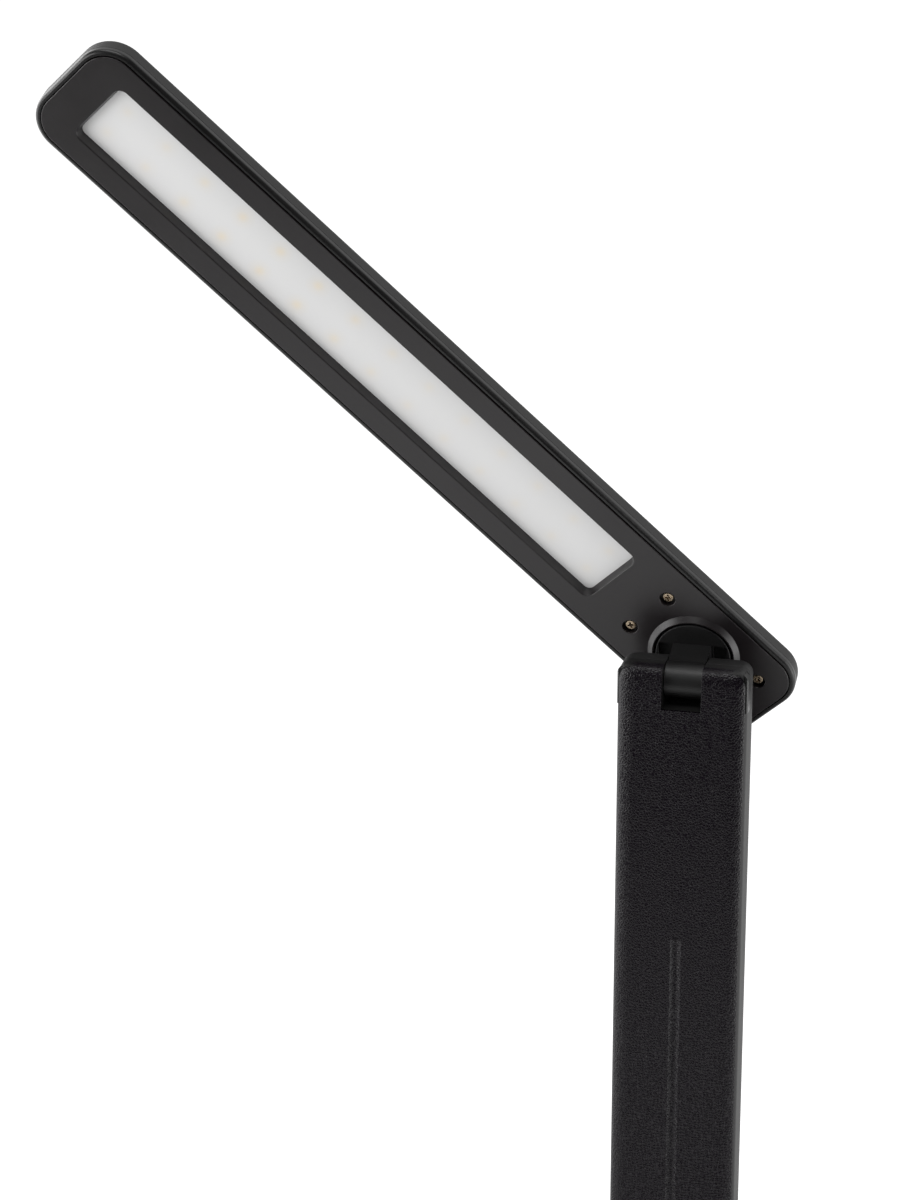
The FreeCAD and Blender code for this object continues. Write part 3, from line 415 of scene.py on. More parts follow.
def axes_of(tree, place):
    """The three coordinates of a place, by name."""
    return add_node(tree, "ShaderNodeSeparateXYZ", Vector=place).outputs


def relief(tree, height, distance, strength=1.0):
    """A normal that follows a height."""
    return add_node(tree, "ShaderNodeBump", Height=height, Distance=distance,
                    Strength=strength).outputs["Normal"]


def object_place(tree, matrix=None, origin=None):
    """Object coordinates, or those of the head or the post: turned back about its origin."""
    vector = add_node(tree, "ShaderNodeTexCoord").outputs["Object"]
    if origin is None:
        return vector
    back = Matrix(np.eye(3) if matrix is None else matrix).transposed()
    mapping = add_node(tree, "ShaderNodeMapping", Vector=vector)
    mapping.inputs["Rotation"].default_value = back.to_euler("XYZ")
    mapping.inputs["Location"].default_value = -(back @ Vector(origin))
    return mapping.outputs["Vector"]


def math_node(tree, operation, first, second=0.0, third=0.0):
    node = tree.nodes.new("ShaderNodeMath")
    node.operation = operation
    for socket, value in zip(node.inputs, (first, second, third)):
        if isinstance(value, bpy.types.NodeSocket):
            tree.links.new(value, socket)
        else:
            socket.default_value = value
    return node.outputs[0]


def ramp(tree, value, stops):
    """A colour ramp from (place, colour) pairs, where a colour may be one grey."""
    node = tree.nodes.new("ShaderNodeValToRGB")
    elements = node.color_ramp.elements
    while len(elements) < len(stops):
        elements.new(0.5)
    for element, (place, colour) in zip(elements, stops):
        element.position = place
        rgb = (colour, colour, colour) if isinstance(colour, (int, float)) else tuple(colour)
        element.color = rgb[:3] + (1,)
    tree.links.new(value, node.inputs[0])
    return node.outputs[0]


def mixed(tree, share, first, second):
    """The first colour turned into the second by a share; a colour may be a socket."""
    node = add_node(tree, "ShaderNodeMix", data_type="RGBA")
    tree.links.new(share, node.inputs["Factor"])
    sockets = [socket for socket in node.inputs if socket.type == "RGBA"]
    for socket, colour in zip(sockets, (first, second)):
        if isinstance(colour, bpy.types.NodeSocket):
            tree.links.new(colour, socket)
        else:
            socket.default_value = tuple(colour) + (1,)
    return [socket for socket in node.outputs if socket.type == "RGBA"][0]


def scaled(colour, factor):
    return tuple(channel * factor for channel in colour)


def moulded(name, colour, roughness, grain_size, grain_depth, variation=0.12, gloss=0.5):
    """Moulded plastic: fine grain in height, with size and depth in millimetres, and slow changes
    of tone and gloss."""
    material, tree, shader = new_material(name)
    place = object_place(tree)
    grain = noise(tree, place, 1 / (grain_size * MM), 2.0, 0.6)["Fac"]
    slow = noise(tree, place, 35.0, 3.0)["Fac"]
    feed(tree, shader, Normal=relief(tree, grain, grain_depth * MM), Specular_IOR_Level=gloss,
         Base_Color=ramp(tree, slow, ((0.3, scaled(colour, 1 - variation)),
                                      (0.7, scaled(colour, 1 + variation)))),
         Roughness=ramp(tree, slow, ((0.25, roughness - 0.04), (0.75, roughness + 0.04))))
    return material


def pebbles(tree, place):
    """Height of the leather grain, 0 in the creases to 1 on the flat crowns of its cells."""
    sizes = bpy.context.scene.lamp_post
    warp_reach = 0.6 * MM
    shifted = add_node(tree, "ShaderNodeVectorMath", operation="MULTIPLY_ADD")
    tree.links.new(noise(tree, place, 700.0, 2.0)["Color"], shifted.inputs[0])
    shifted.inputs[1].default_value = (warp_reach, warp_reach, warp_reach)
    tree.links.new(place, shifted.inputs[2])
    cells = add_node(tree, "ShaderNodeTexVoronoi", feature="DISTANCE_TO_EDGE",
                     Vector=shifted.outputs[0], Scale=1 / sizes.grain_size)
    return ramp(tree, cells.outputs["Distance"], ((0.02, 0.0), (0.20, 0.75), (0.38, 1.0)))


def over(tree, value, start, width):
    """How far a value lies past a start, in widths, and 0 before it."""
    share = math_node(tree, "MULTIPLY_ADD", value, 1 / width, -start / width)
    return math_node(tree, "MAXIMUM", share, 0.0)


def leather(name, colour):
    """Pebbled skin: flat-topped cells with sloping creases between them, whose colour is painted paler
    than the crowns as a painted highlight of their slopes. The grain runs out into smooth plastic at
    the corners, where the mean of two fourth powers, of how far a point lies past across_start and
    along_start in widths of the run-out, passes a little over a half."""
    sizes = bpy.context.scene.lamp_post
    across_start, across_width = sizes.width / 2 - 8 * MM, 7.0 * MM
    along_start, along_width = axle_spacing / 2 - 7 * MM, 12.2 * MM
    material, tree, shader = new_material(name)
    place = object_place(tree, None, tilt_axle)
    axes = axes_of(tree, place)
    across = over(tree, math_node(tree, "ABSOLUTE", axes["X"]), across_start, across_width)
    end = math_node(tree, "ABSOLUTE", math_node(tree, "ADD", axes["Z"], axle_spacing / 2))
    along = over(tree, end, along_start, along_width)
    powers = [math_node(tree, "POWER", value, 4.0) for value in (across, along)]
    run_out = ramp(tree, math_node(tree, "MULTIPLY", math_node(tree, "ADD", *powers), 0.5),
                   ((0.55, 1.0), (0.68, 0.0)))
    finish_leather(tree, shader, pebbles(tree, place), run_out, colour, colour)
    return material


def finish_leather(tree, shader, crown, share, colour, plain, plain_roughness=0.24):
    """Tone, gloss and relief of a surface of which a share is grained, with its creases painted paler
    than its crowns as a painted highlight.
    """
    sizes = bpy.context.scene.lamp_post
    height = math_node(tree, "MULTIPLY", crown, share)
    # Painted highlight: the sloping creases are 1.5 times the colour and the flat crowns 0.8 times it.
    grained = ramp(tree, crown, ((0.0, scaled(colour, 1.5)), (1.0, scaled(colour, 0.8))))
    feed(tree, shader, Normal=relief(tree, height, sizes.grain_depth), Specular_IOR_Level=0.38,
         Base_Color=mixed(tree, share, plain, grained),
         Roughness=ramp(tree, height, ((0.0, plain_roughness), (0.6, 0.30), (1.0, 0.34))))


def shell_top(name, colour, skin):
    """Satin plastic of the front shell, with the leather's grain and the painted highlight in its
    creases carried a little over its top.
    """
    sizes = bpy.context.scene.lamp_post
    top_start, top_width = sizes.end_reach - 0.9 * MM, 0.2 * MM
    front_start, front_width = 3.2 * MM, 0.8 * MM
    side_end, side_width = 17 * MM, 1.5 * MM
    material, tree, shader = new_material(name)
    place = object_place(tree, None, tilt_axle)
    axes = axes_of(tree, place)
    top = over(tree, axes["Z"], top_start, top_width)
    front = over(tree, math_node(tree, "MULTIPLY", axes["Y"], -1.0), front_start, front_width)
    middle = over(tree, math_node(tree, "MULTIPLY", math_node(tree, "ABSOLUTE", axes["X"]), -1.0),
                  -side_end, side_width)
    share = math_node(tree, "MINIMUM", math_node(tree, "MINIMUM", top, front), middle)
    finish_leather(tree, shader, pebbles(tree, place), math_node(tree, "MINIMUM", share, 1.0), skin,
                   colour, 0.56)
    return material


def frosted(name, colour, spot):
    """Frosted plate, where each warm diode behind it shows as a soft round spot."""
    sizes = bpy.context.scene.lamp_head
    material, tree, shader = new_material(name)
    place = object_place(tree, head_matrix, swivel_centre)
    axes = axes_of(tree, place)
    spot_radius = 5.0 * MM
    window = sizes.window_end - sizes.window_start
    middle = (sizes.window_start + sizes.window_end) / 2
    count_shift = 0.5 if sizes.led_count % 2 else 0.0
    steps = math_node(tree, "MULTIPLY_ADD", axes["Z"], 1 / sizes.led_pitch,
                      count_shift - middle / sizes.led_pitch)
    along = math_node(tree, "SUBTRACT", math_node(tree, "FRACT", steps), 0.5)
    along = math_node(tree, "MULTIPLY", along, sizes.led_pitch)
    across = math_node(tree, "SUBTRACT", math_node(tree, "ABSOLUTE", axes["X"]), sizes.led_rows / 2)
    far = math_node(tree, "ADD", math_node(tree, "POWER", along, 2.0),
                    math_node(tree, "POWER", across, 2.0))
    reach = math_node(tree, "MULTIPLY", math_node(tree, "SQRT", far), 1 / spot_radius)
    grain = noise(tree, place, 4000.0, 1.0)["Fac"]
    share = math_node(tree, "MULTIPLY_ADD", axes["Z"], 1 / window, -sizes.window_start / window)
    warmth = ramp(tree, share, ((0.0, 0.35), (0.42, 0.4), (0.6, 1.0), (0.74, 1.0), (0.92, 0.35)))
    glow = ramp(tree, reach, ((0.08, 1.0), (0.45, 0.25), (0.9, 0.0)))
    feed(tree, shader, Normal=relief(tree, grain, 0.01 * MM, 0.6), Roughness=0.45,
         Specular_IOR_Level=0.4,
         Base_Color=mixed(tree, math_node(tree, "MULTIPLY", glow, warmth), colour, spot))
    return material


def metal(name, colour, roughness, speck=0.0):
    """Plated metal with drawn streaks in its gloss and, on a darkened plating, small specks."""
    material, tree, shader = new_material(name)
    streak = noise(tree, object_place(tree), 2500.0, 3.0)["Fac"]
    feed(tree, shader, Metallic=1.0,
         Base_Color=ramp(tree, streak, ((0.40, scaled(colour, 1 - speck)), (0.58, colour))),
         Roughness=ramp(tree, streak, ((0.3, roughness - 0.08), (0.7, roughness + 0.12))))
    return material


def make_materials():
    """Every finish of the lamp, by name. A plastic has its label, colour, roughness, the size and
    depth of its grain and, where they aren't the usual ones, its variation and gloss."""
    tones = bpy.context.scene.lamp_finish
    finishes = {key: moulded(*values) for key, values in {
        "plate": ("matt plate", tones.plate, 0.34, 0.16, 0.006, 0.12, 0.62),
        "cap": ("side cap", tones.post, 0.34, 0.4, 0.004),
        "rim": ("smooth rim", tones.rim, 0.34, 0.5, 0.003),
        "shell": ("grained shell", tones.shell, 0.56, 0.30, 0.035, 0.2),
        "post": ("satin post", tones.post, 0.58, 0.4, 0.004),
        "knuckle": ("knuckle", tones.knuckle, 0.44, 0.4, 0.03),
        "rubber": ("rubber", (0.03, 0.03, 0.03), 0.75, 0.4, 0.02),
        "white board": ("white board", (0.80, 0.80, 0.78), 0.4, 0.5, 0.003, 0.02),
        "warm diode": ("warm diode", (0.9, 0.68, 0.28), 0.35, 0.5, 0.004, 0.03),
        "cool diode": ("cool diode", (0.9, 0.84, 0.5), 0.35, 0.5, 0.004, 0.03),
        "green board": ("green board", (0.04, 0.18, 0.08), 0.4, 0.6, 0.004),
        "black gloss": ("black gloss", (0.006, 0.006, 0.007), 0.08, 2.0, 0.0004, 0.1),
        "nylon": ("nylon", (0.7, 0.69, 0.65), 0.5, 0.4, 0.004, 0.04),
        "jacket": ("lead jacket", (0.05, 0.05, 0.05), 0.55, 0.4, 0.006)}.items()}
    finishes["leather"] = leather("pebbled leather", tones.leather)
    finishes["front shell"] = shell_top("satin front shell", tones.post, tones.leather)
    finishes["diffuser"] = frosted("frosted diffuser", tones.diffuser, tones.spot)
    finishes["steel"] = metal("plated steel", (0.55, 0.55, 0.56), 0.32)
    finishes["bronze"] = metal("bronze screw", (0.62, 0.50, 0.36), 0.26, 0.6)
    return finishes


materials = {}

# Finish of every node that keeps its CAD shape, by the record's material slot
SLOT_FINISH = {
    "grained_plastic": "shell", "satin_plastic": "post", "imitation_leather": "leather",
    "frosted_acrylic": "diffuser", "steel": "steel", "bronze_screw": "bronze", "rubber": "rubber",
    "white_board": "white board", "warm_led": "warm diode", "cool_led": "cool diode",
    "green_board": "green board", "black_gloss": "black gloss", "nylon": "nylon",
    "lead_jacket": "jacket",
}


# The head, from the centre of the swivel in the plane of the lower cover

def head_rings(profile):
    """The insets of a profile, carried along the head's outline."""
    sizes = bpy.context.scene.lamp_head
    half = sizes.width / 2
    return outline_rings((-half, -sizes.tail), (half, sizes.reach), sizes.corner_radius,
                         profile[:, 0])


def window_rings(profile):
    """The growths of a profile, carried along the outline of the diffuser window."""
    sizes = bpy.context.scene.lamp_head
    half = sizes.window_width / 2
    return outline_rings((-half, sizes.window_start), (half, sizes.window_end),
                         sizes.window_corner, -profile[:, 0], 12)


def strip(points, rows, close_rows=False):
    """The faces between the rings of a carried profile."""
    return points, grid_quads(rows, len(points) // rows, close_rows)


def carried(rings, profile, close_rows=False):
    """The strip through the rings, at the depths that the profile has in its second column."""
    return strip(flat_in_head(rings, profile[:, 1]), len(profile), close_rows)


def lid(points):
    """One face over a ring of points."""
    return points, [list(range(len(points)))]


def add_to_head(name, parts, nodes, finish):
    """A new piece of the head, with flat faces kept flat."""
    return even_shading(add_piece(name, parts, place_in_head, "head", nodes,
                                  materials[finish]))


class LAMP_OT_head_shells(bpy.types.Operator):
    """Back shell and smooth frame of the head, as profiles carried along its outline."""
    bl_idname = "lamp.head_shells"
    bl_label = "Head back shell and frame"

    def execute(self, context):
        sizes = context.scene.lamp_head
        edge = 0.12 * MM
        lip = 0.2 * MM
        top = sizes.thickness
        low = sizes.rim_height
        outer = np.vstack(([[sizes.side_wall, low]],
                           rounding((edge, low + edge), edge, 270, 180),
                           rounding((sizes.back_edge, top - sizes.back_edge), sizes.back_edge,
                                    180, 90, 10)))
        inner = np.array([[sizes.side_wall, low], [sizes.side_wall, top - sizes.back_wall]])
        parts = []
        for profile in (outer, inner):
            rings = head_rings(profile)
            side = carried(rings, profile)
            parts += [side, lid(side[0][-rings.shape[1]:])]
        add_to_head("head_back_shell", parts, ["head_top_cover"], "shell")

        rim = sizes.rim_edge
        wall = sizes.rim_wall
        back = low - SEAT
        ledge = sizes.cover_thickness + SEAT
        profile = np.vstack((
            [[wall + sizes.rim_ledge, back]], rounding((edge, back - edge), edge, 90, 180),
            rounding((rim, sizes.rim_drop + rim), rim, 180, 262, 12),
            rounding((wall - lip, sizes.rim_drop + lip), lip, 270, 360),
            [[wall, ledge], [wall + sizes.rim_ledge, ledge]]))
        add_to_head("head_frame", [carried(head_rings(profile), profile, True)],
                    ["head_rim_frame"], "rim")
        return {"FINISHED"}


def screw_places():
    sizes = bpy.context.scene.lamp_screws
    return [(side * sizes.across / 2, end * sizes.along / 2) for side in (-1, 1) for end in (-1, 1)]


class LAMP_OT_lower_cover(bpy.types.Operator):
    """Matt plate with its sloping window, swivel collar and sunk screw bosses: flat faces with
    holes, joined by profiles carried round each hole and round the outline."""
    bl_idname = "lamp.lower_cover"
    bl_label = "Head lower cover"

    def execute(self, context):
        sizes = context.scene.lamp_head
        screws = context.scene.lamp_screws
        seam = sizes.rim_wall + sizes.cover_seam
        back = sizes.cover_thickness
        edge = sizes.cover_edge
        outer = np.vstack((rounding((seam + edge, edge), edge, 270, 180, 6), [[seam, back]]))

        slope = math.degrees(math.atan2(sizes.window_slope, sizes.window_depth))
        lip = 0.35 * MM
        window = np.vstack((rounding((lip, lip), lip, 270, 180 + slope, 6),
                            [[-sizes.window_slope, sizes.window_depth],
                             [sizes.window_surround, sizes.window_depth],
                             [sizes.window_surround, back]]))

        seat = screws.sink + screws.head_height
        bore = screws.counterbore
        soft = 0.18 * MM
        hole = np.vstack((rounding((bore + soft, soft), soft, 270, 180),
                          [[bore, seat], [screws.hole_radius, seat],
                           [screws.hole_radius, seat + screws.boss_wall],
                           [screws.boss_radius, seat + screws.boss_wall],
                           [screws.boss_radius, back]]))

        collar = self.collar_profile(sizes)
        walls = [(head_rings(outer), outer), (window_rings(window), window)]
        walls += [(circle_rings(centre, hole[:, 0], 40), hole) for centre in screw_places()]
        walls.append((circle_rings((0, 0), collar[:, 0], 128), collar))
        parts = [carried(*wall) for wall in walls]
        parts += [flat_face([rings[0] for rings, _ in walls], 0.0),
                  flat_face([rings[-1] for rings, _ in walls], back)]
        add_to_head("head_plate", parts, ["head_bottom_cover"], "plate")
        return {"FINISHED"}

    @staticmethod
    def collar_profile(sizes):
        """(radius, depth) up the outer flank, over the crest, down the flared mouth, along the bore
        to the flange and round it to the back of the plate, with the foot and the crest rounded."""
        foot = 0.25 * MM
        crest = 0.16 * MM
        top = -sizes.collar_height
        flank = math.degrees(math.atan2(sizes.collar_height,
                                        sizes.collar_radius - sizes.collar_crest_outer))
        mouth = math.degrees(math.atan2(sizes.collar_height - sizes.collar_lead_in,
                                        sizes.collar_crest_inner - sizes.collar_bore))
        bend = foot * math.tan(math.radians(flank / 2))
        start = rounding((sizes.collar_radius + bend, -foot), foot, 90, 90 + flank)
        middle = (sizes.collar_crest_outer + sizes.collar_crest_inner) / 2
        crown = rounding((middle, top + crest), crest + (sizes.collar_crest_outer - middle) / 2,
                         -90 + flank, -90 - mouth, 8)
        return np.vstack((start, crown,
                          [[sizes.collar_bore, -sizes.collar_lead_in],
                           [sizes.collar_bore, sizes.flange_front],
                           [sizes.flange_bore, sizes.flange_front],
                           [sizes.flange_bore, sizes.flange_back],
                           [sizes.collar_radius, sizes.flange_back],
                           [sizes.collar_radius, sizes.cover_thickness]]))


class LAMP_OT_diffuser(bpy.types.Operator):
    """Frosted plate behind the window, a slab carried along the window's outline."""
    bl_idname = "lamp.diffuser"
    bl_label = "Diffuser"

    def execute(self, context):
        sizes = context.scene.lamp_head
        grow = sizes.window_surround - SEAT
        front = sizes.window_depth + SEAT
        back = front + sizes.diffuser_thickness
        edge = 0.1 * MM
        profile = np.vstack((rounding((grow - edge, front + edge), edge, 270, 360),
                             rounding((grow - edge, back - edge), edge, 0, 90)))
        rings = window_rings(profile)
        wall = carried(rings, profile)
        count = rings.shape[1]
        add_to_head("frosted_diffuser", [wall, lid(wall[0][:count]), lid(wall[0][-count:])],
                    ["diffuser"], "diffuser")
        return {"FINISHED"}


class LAMP_OT_head_screws(bpy.types.Operator):
    """Cross-head screws: a turned profile whose top is pressed in by a cross, with depth falling
    from its middle to the ends of its arms."""
    bl_idname = "lamp.head_screws"
    bl_label = "Head screws"

    def execute(self, context):
        sizes = context.scene.lamp_screws
        columns = 96
        axis_gap = 0.02 * MM
        edge = 0.4 * MM
        dish = 0.1 * MM
        side_slope = 0.1 * MM
        end_slope = 0.3 * MM
        seat = sizes.sink + sizes.head_height
        flat = np.linspace(axis_gap, sizes.head_radius - edge, 26)
        top = np.column_stack((flat, sizes.sink + dish * (flat / sizes.head_radius) ** 2))
        shoulder = rounding((sizes.head_radius - edge, top[-1, 1] + edge), edge, 270, 360, 6)
        profile = np.vstack((top, shoulder[1:], [[sizes.head_radius, seat],
                                                 [sizes.shank_radius, seat],
                                                 [sizes.shank_radius, sizes.tip],
                                                 [axis_gap, sizes.tip]]))
        rings = circle_rings((0, 0), profile[:, 0], columns)
        parts = []
        for index, centre in enumerate(screw_places()):
            turn = math.radians(25 + 38 * index)
            arm_u = np.abs(rings[..., 0] * math.cos(turn) + rings[..., 1] * math.sin(turn))
            arm_v = np.abs(rings[..., 1] * math.cos(turn) - rings[..., 0] * math.sin(turn))
            depth = np.broadcast_to(profile[:, 1, None], arm_u.shape).copy()
            far = np.maximum(arm_u, arm_v)
            share = far / sizes.cross_reach
            width = sizes.cross_width * (1 - 0.35 * share)
            inside = np.clip((width - np.minimum(arm_u, arm_v)) / side_slope, 0, 1)
            fall = np.clip((sizes.cross_reach - far) / end_slope, 0, 1)
            fall = np.clip(np.minimum(fall, 0.55 + 0.45 * (1 - share)), 0, 1)
            depth[:len(flat)] += (sizes.cross_depth * inside * fall)[:len(flat)]
            points = points_of(rings[..., 0] + centre[0], depth, rings[..., 1] + centre[1])
            parts += [strip(points, len(profile)), lid(points[:columns]), lid(points[-columns:])]
        add_to_head("closing_screws", parts, ["head_screws"], "bronze")
        return {"FINISHED"}


class LAMP_OT_knuckle(bpy.types.Operator):
    """Knuckle with softened edges."""
    bl_idname = "lamp.knuckle"
    bl_label = "Knuckle"

    def execute(self, context):
        softened_copy("tilt_knuckle", "knuckle_moulding", 0.3 * MM, "knuckle",
                      materials["knuckle"])
        return {"FINISHED"}


# The post, from the tilt axle

def post_section(inset, sizes, columns):
    """The panel's section at each inset, a row of points from one rim to the other: at both sides
    a quarter of an ellipse, with its semi-axes less the inset, that stops at the rim's plane."""
    inset = np.asarray(inset, float)[:, None]
    centre_x = sizes.width / 2 - sizes.skin_side
    centre_y = sizes.skin_fall - sizes.depth / 2
    rim_depth = sizes.skin_fall - sizes.leather_wrap
    fall = np.maximum(sizes.skin_fall - inset, rim_depth)
    start = np.arcsin(rim_depth / fall)
    turn = start + (math.pi / 2 - start) * np.linspace(0, 1, 17)
    arc_x = -centre_x - (sizes.skin_side - inset) * np.cos(turn)
    arc_y = centre_y - fall * np.sin(turn)
    front_x = np.broadcast_to(columns, (len(inset), len(columns)))
    front_y = np.broadcast_to(centre_y - fall, front_x.shape)
    x = np.hstack((arc_x, front_x, -arc_x[:, ::-1]))
    y = np.hstack((arc_y, front_y, arc_y[:, ::-1]))
    return x, y


def closed_skin(outer, inner, faces):
    """A closed piece from an outer and an inner layer of points that share their faces, with a wall
    along every edge that only one face uses."""
    sides = np.concatenate([faces[:, [index, (index + 1) % 4]] for index in range(4)])
    _, place, uses = np.unique(np.sort(sides, axis=1), axis=0, return_index=True,
                               return_counts=True)
    rim = sides[place[uses == 1]]
    count = len(outer)
    wall = np.column_stack((rim[:, 1], rim[:, 0], rim[:, 0] + count, rim[:, 1] + count))
    return np.concatenate((outer, inner)), np.concatenate((faces, faces[:, ::-1] + count, wall))


class LAMP_OT_leather(bpy.types.Operator):
    """Leather-look panel: the front of the post's section carried down its length, drawn in round
    both ends, pressed in by the long groove, cut out at the two slots and given its thickness."""
    bl_idname = "lamp.leather"
    bl_label = "Leather-look panel"

    def execute(self, context):
        sizes = context.scene.lamp_post
        top = sizes.end_reach
        bottom = -axle_spacing - sizes.end_reach
        flat = sizes.width / 2 - sizes.skin_side
        half_groove = sizes.groove_width / 2
        close = 1.4  # how far the points round the groove lie close, in halves of its width
        reach = close * half_groove
        groove = np.linspace(-close, close, 29) * half_groove
        slots = np.array([sizes.upper_slot / 2, sizes.lower_slot / 2])
        plain = np.linspace(reach, flat, 17)[1:-1]
        side = np.sort(np.concatenate((plain, slots)))
        columns = np.concatenate((-side[::-1], groove, side))

        edge_turn = math.acos(1 - sizes.leather_wrap / sizes.skin_fall)
        turn = np.linspace(edge_turn, 0, 17)
        end_inset = sizes.skin_fall * (1 - np.cos(turn))
        end_rise = sizes.skin_end * (np.sin(turn) - 1)
        slot_top = -sizes.slot_floor
        slot_bottom = -axle_spacing + sizes.slot_floor
        groove_top = -sizes.groove_top - half_groove
        groove_bottom = -axle_spacing + sizes.groove_bottom + half_groove
        stations = (top - sizes.skin_end, slot_top, groove_top + reach, groove_top, groove_bottom,
                    groove_bottom - reach, slot_bottom, bottom + sizes.skin_end)
        level = np.concatenate([np.linspace(start, end, steps + 1)[1:] for start, end, steps in zip(
            stations, stations[1:], (4, 11, 15, 39, 15, 7, 4))])[:-1]
        inset = np.concatenate((end_inset, np.zeros(len(level)), end_inset[::-1]))
        height = np.concatenate((top + end_rise, level, bottom - end_rise[::-1]))
        x, y = post_section(inset, sizes, columns)
        inner_x, inner_y = post_section(inset + sizes.leather_thickness - SEAT, sizes, columns)
        rim = y[0, 0]
        z = np.broadcast_to(height[:, None], x.shape)
        beyond = np.maximum(np.maximum(z - groove_top, groove_bottom - z), 0)
        away = np.hypot(x, beyond) / half_groove
        y = y + sizes.groove_depth * np.clip(1 - away ** 2, 0, 1)

        rows, count = x.shape
        quads = grid_quads(rows, count, False, False)
        middle_x = np.abs(x.reshape(-1)[quads].mean(axis=1))
        middle_z = z.reshape(-1)[quads].mean(axis=1)
        cut = (middle_z > slot_top) & (middle_x < slots[0])
        cut |= (middle_z < slot_bottom) & (middle_x < slots[1])
        points, faces = closed_skin(points_of(x, y, z),
                                    points_of(inner_x, np.minimum(inner_y, rim), z), quads[~cut])
        used, faces = np.unique(faces, return_inverse=True)
        piece = add_piece("leather_panel", [(points[used], faces.reshape(-1, 4))], place_in_post,
                          "stem", ["stem_leather_panel"],
                          materials["leather"])
        self.mark_slot_edges(piece.data)
        soften(piece, 0.3 * MM).modifiers["soft edges"].limit_method = "WEIGHT"
        return {"FINISHED"}

    @staticmethod
    def mark_slot_edges(mesh):
        """Only the edges between the skin and the walls of the slots are rounded."""
        with edited(mesh) as shape:
            weight = shape.edges.layers.float.new("bevel_weight_edge")
            for edge in shape.edges:
                depth = sorted(face.normal.y for face in edge.link_faces)
                if depth[0] < -0.3 and abs(depth[1]) < 0.01:
                    edge[weight] = 1


class LAMP_OT_side_caps(bpy.types.Operator):
    """Caps let into both sides at both hinges: a section with a wide round front edge, carried up
    to the round end of the post."""
    bl_idname = "lamp.side_caps"
    bl_label = "Side caps"

    def execute(self, context):
        sizes = context.scene.lamp_post
        face = sizes.width / 2 + sizes.cap_proud
        front = -sizes.depth / 2 + sizes.cap_front
        back = front + sizes.cap_depth
        edge = sizes.cap_edge
        small = 0.15 * MM
        section = np.vstack(([[sizes.cap_root, front]],
                             rounding((face - edge, front + edge), edge, 270, 360, 10),
                             rounding((face - small, back - small), small, 0, 90),
                             [[sizes.cap_root, back]]))
        near = np.column_stack((section[:, 1] + sizes.depth / 2, face - section[:, 0])).min(axis=1)
        past = np.maximum(sizes.shell_end - near, 0)
        drop = sizes.shell_end - np.sqrt(np.maximum(sizes.shell_end ** 2 - past ** 2, 0))
        for place, side, sign in (("upper_left", -1, 1), ("upper_right", 1, 1),
                                  ("lower_left", -1, -1), ("lower_right", 1, -1)):
            origin = 0 if sign > 0 else -axle_spacing
            rise = np.stack((np.full(len(section), sizes.end_reach - sizes.cap_height),
                             sizes.end_reach - small - drop))
            points = points_of(side * section[:, 0], section[:, 1], origin + sign * rise)
            rows = [list(range(len(section))), list(range(len(section), 2 * len(section)))]
            parts = [strip(points, 2), (points, rows)]
            piece = add_piece(place + "_cap_moulding", parts, place_in_post, "stem",
                              [place + "_cap"], materials["cap"])
            soften(piece, 0.12 * MM)
        return {"FINISHED"}


class LAMP_OT_post_shells(bpy.types.Operator):
    """Half shells of the post, with softened edges."""
    bl_idname = "lamp.post_shells"
    bl_label = "Post shells"

    def execute(self, context):
        for node, name, width, finish in (
                ("stem_front_shell", "post_front_shell", 0.03, "front shell"),
                ("stem_rear_shell", "post_rear_shell", 0.15, "post")):
            softened_copy(node, name, width * MM, "stem", materials[finish])
        return {"FINISHED"}


class LAMP_OT_base(bpy.types.Operator):
    """Base covers, pad, touch panel, hinge post and power socket, with softened edges."""
    bl_idname = "lamp.base"
    bl_label = "Base"

    def execute(self, context):
        for node, name, width, slot, finish in (
                ("base_top_cover", "base_upper_shell", 0.3, "grained_plastic", "shell"),
                ("base_bottom_cover", "base_lower_shell", 0.3, "grained_plastic", "shell"),
                ("rubber_pad", "foot_pad", 0.3, "rubber", "rubber"),
                ("touch_panel", "touch_plate", 0.2, "black_gloss", "black gloss"),
                ("hinge_post", "hinge_lug", 0.4, "satin_plastic", "post"),
                ("power_socket", "power_inlet", 0.15, "satin_plastic", "post")):
            softened_copy(node, name, width * MM, "base", materials[finish])
        return {"FINISHED"}


class LAMP_OT_inner_pieces(bpy.types.Operator):
    """Gives every node that keeps its CAD shape the finish of its material slot."""
    bl_idname = "lamp.inner_pieces"
    bl_label = "Inner pieces"

    def execute(self, context):
        for part in frame["record"]["subparts"]:
            node = frame["nodes"][part["node"]]
            finish = materials[SLOT_FINISH[part["material_slot"]]]
            if not node.material_slots:
                node.data.materials.append(finish)
            for slot in node.material_slots:
                slot.material = finish
        return {"FINISHED"}


# The stage

def seen_rays(tree):
    """1 on camera, glossy and transmitted rays, and 1 on glossy rays."""
    rays = add_node(tree, "ShaderNodeLightPath").outputs
    seen = math_node(tree, "MAXIMUM", rays["Is Camera Ray"], rays["Is Glossy Ray"])
    return math_node(tree, "MAXIMUM", seen, rays["Is Transmission Ray"]), rays["Is Glossy Ray"]


def stage_material(name):
    """A material with only its output, its node tree and the input for its surface."""
    material = bpy.data.materials.new(name)
    material.use_nodes = True
    tree = material.node_tree
    tree.nodes.clear()
    return material, tree, tree.nodes.new("ShaderNodeOutputMaterial").inputs["Surface"]


def stage_sheet(name, x, y, z, material):
    """A sheet of the stage through a grid of points."""
    mesh = bpy.data.meshes.new(name)
    mesh.from_pydata(points_of(x, y, z).tolist(), [], grid_quads(*x.shape, False, False).tolist())
    mesh.materials.append(material)
    sheet = add_object(name, mesh)
    return sheet


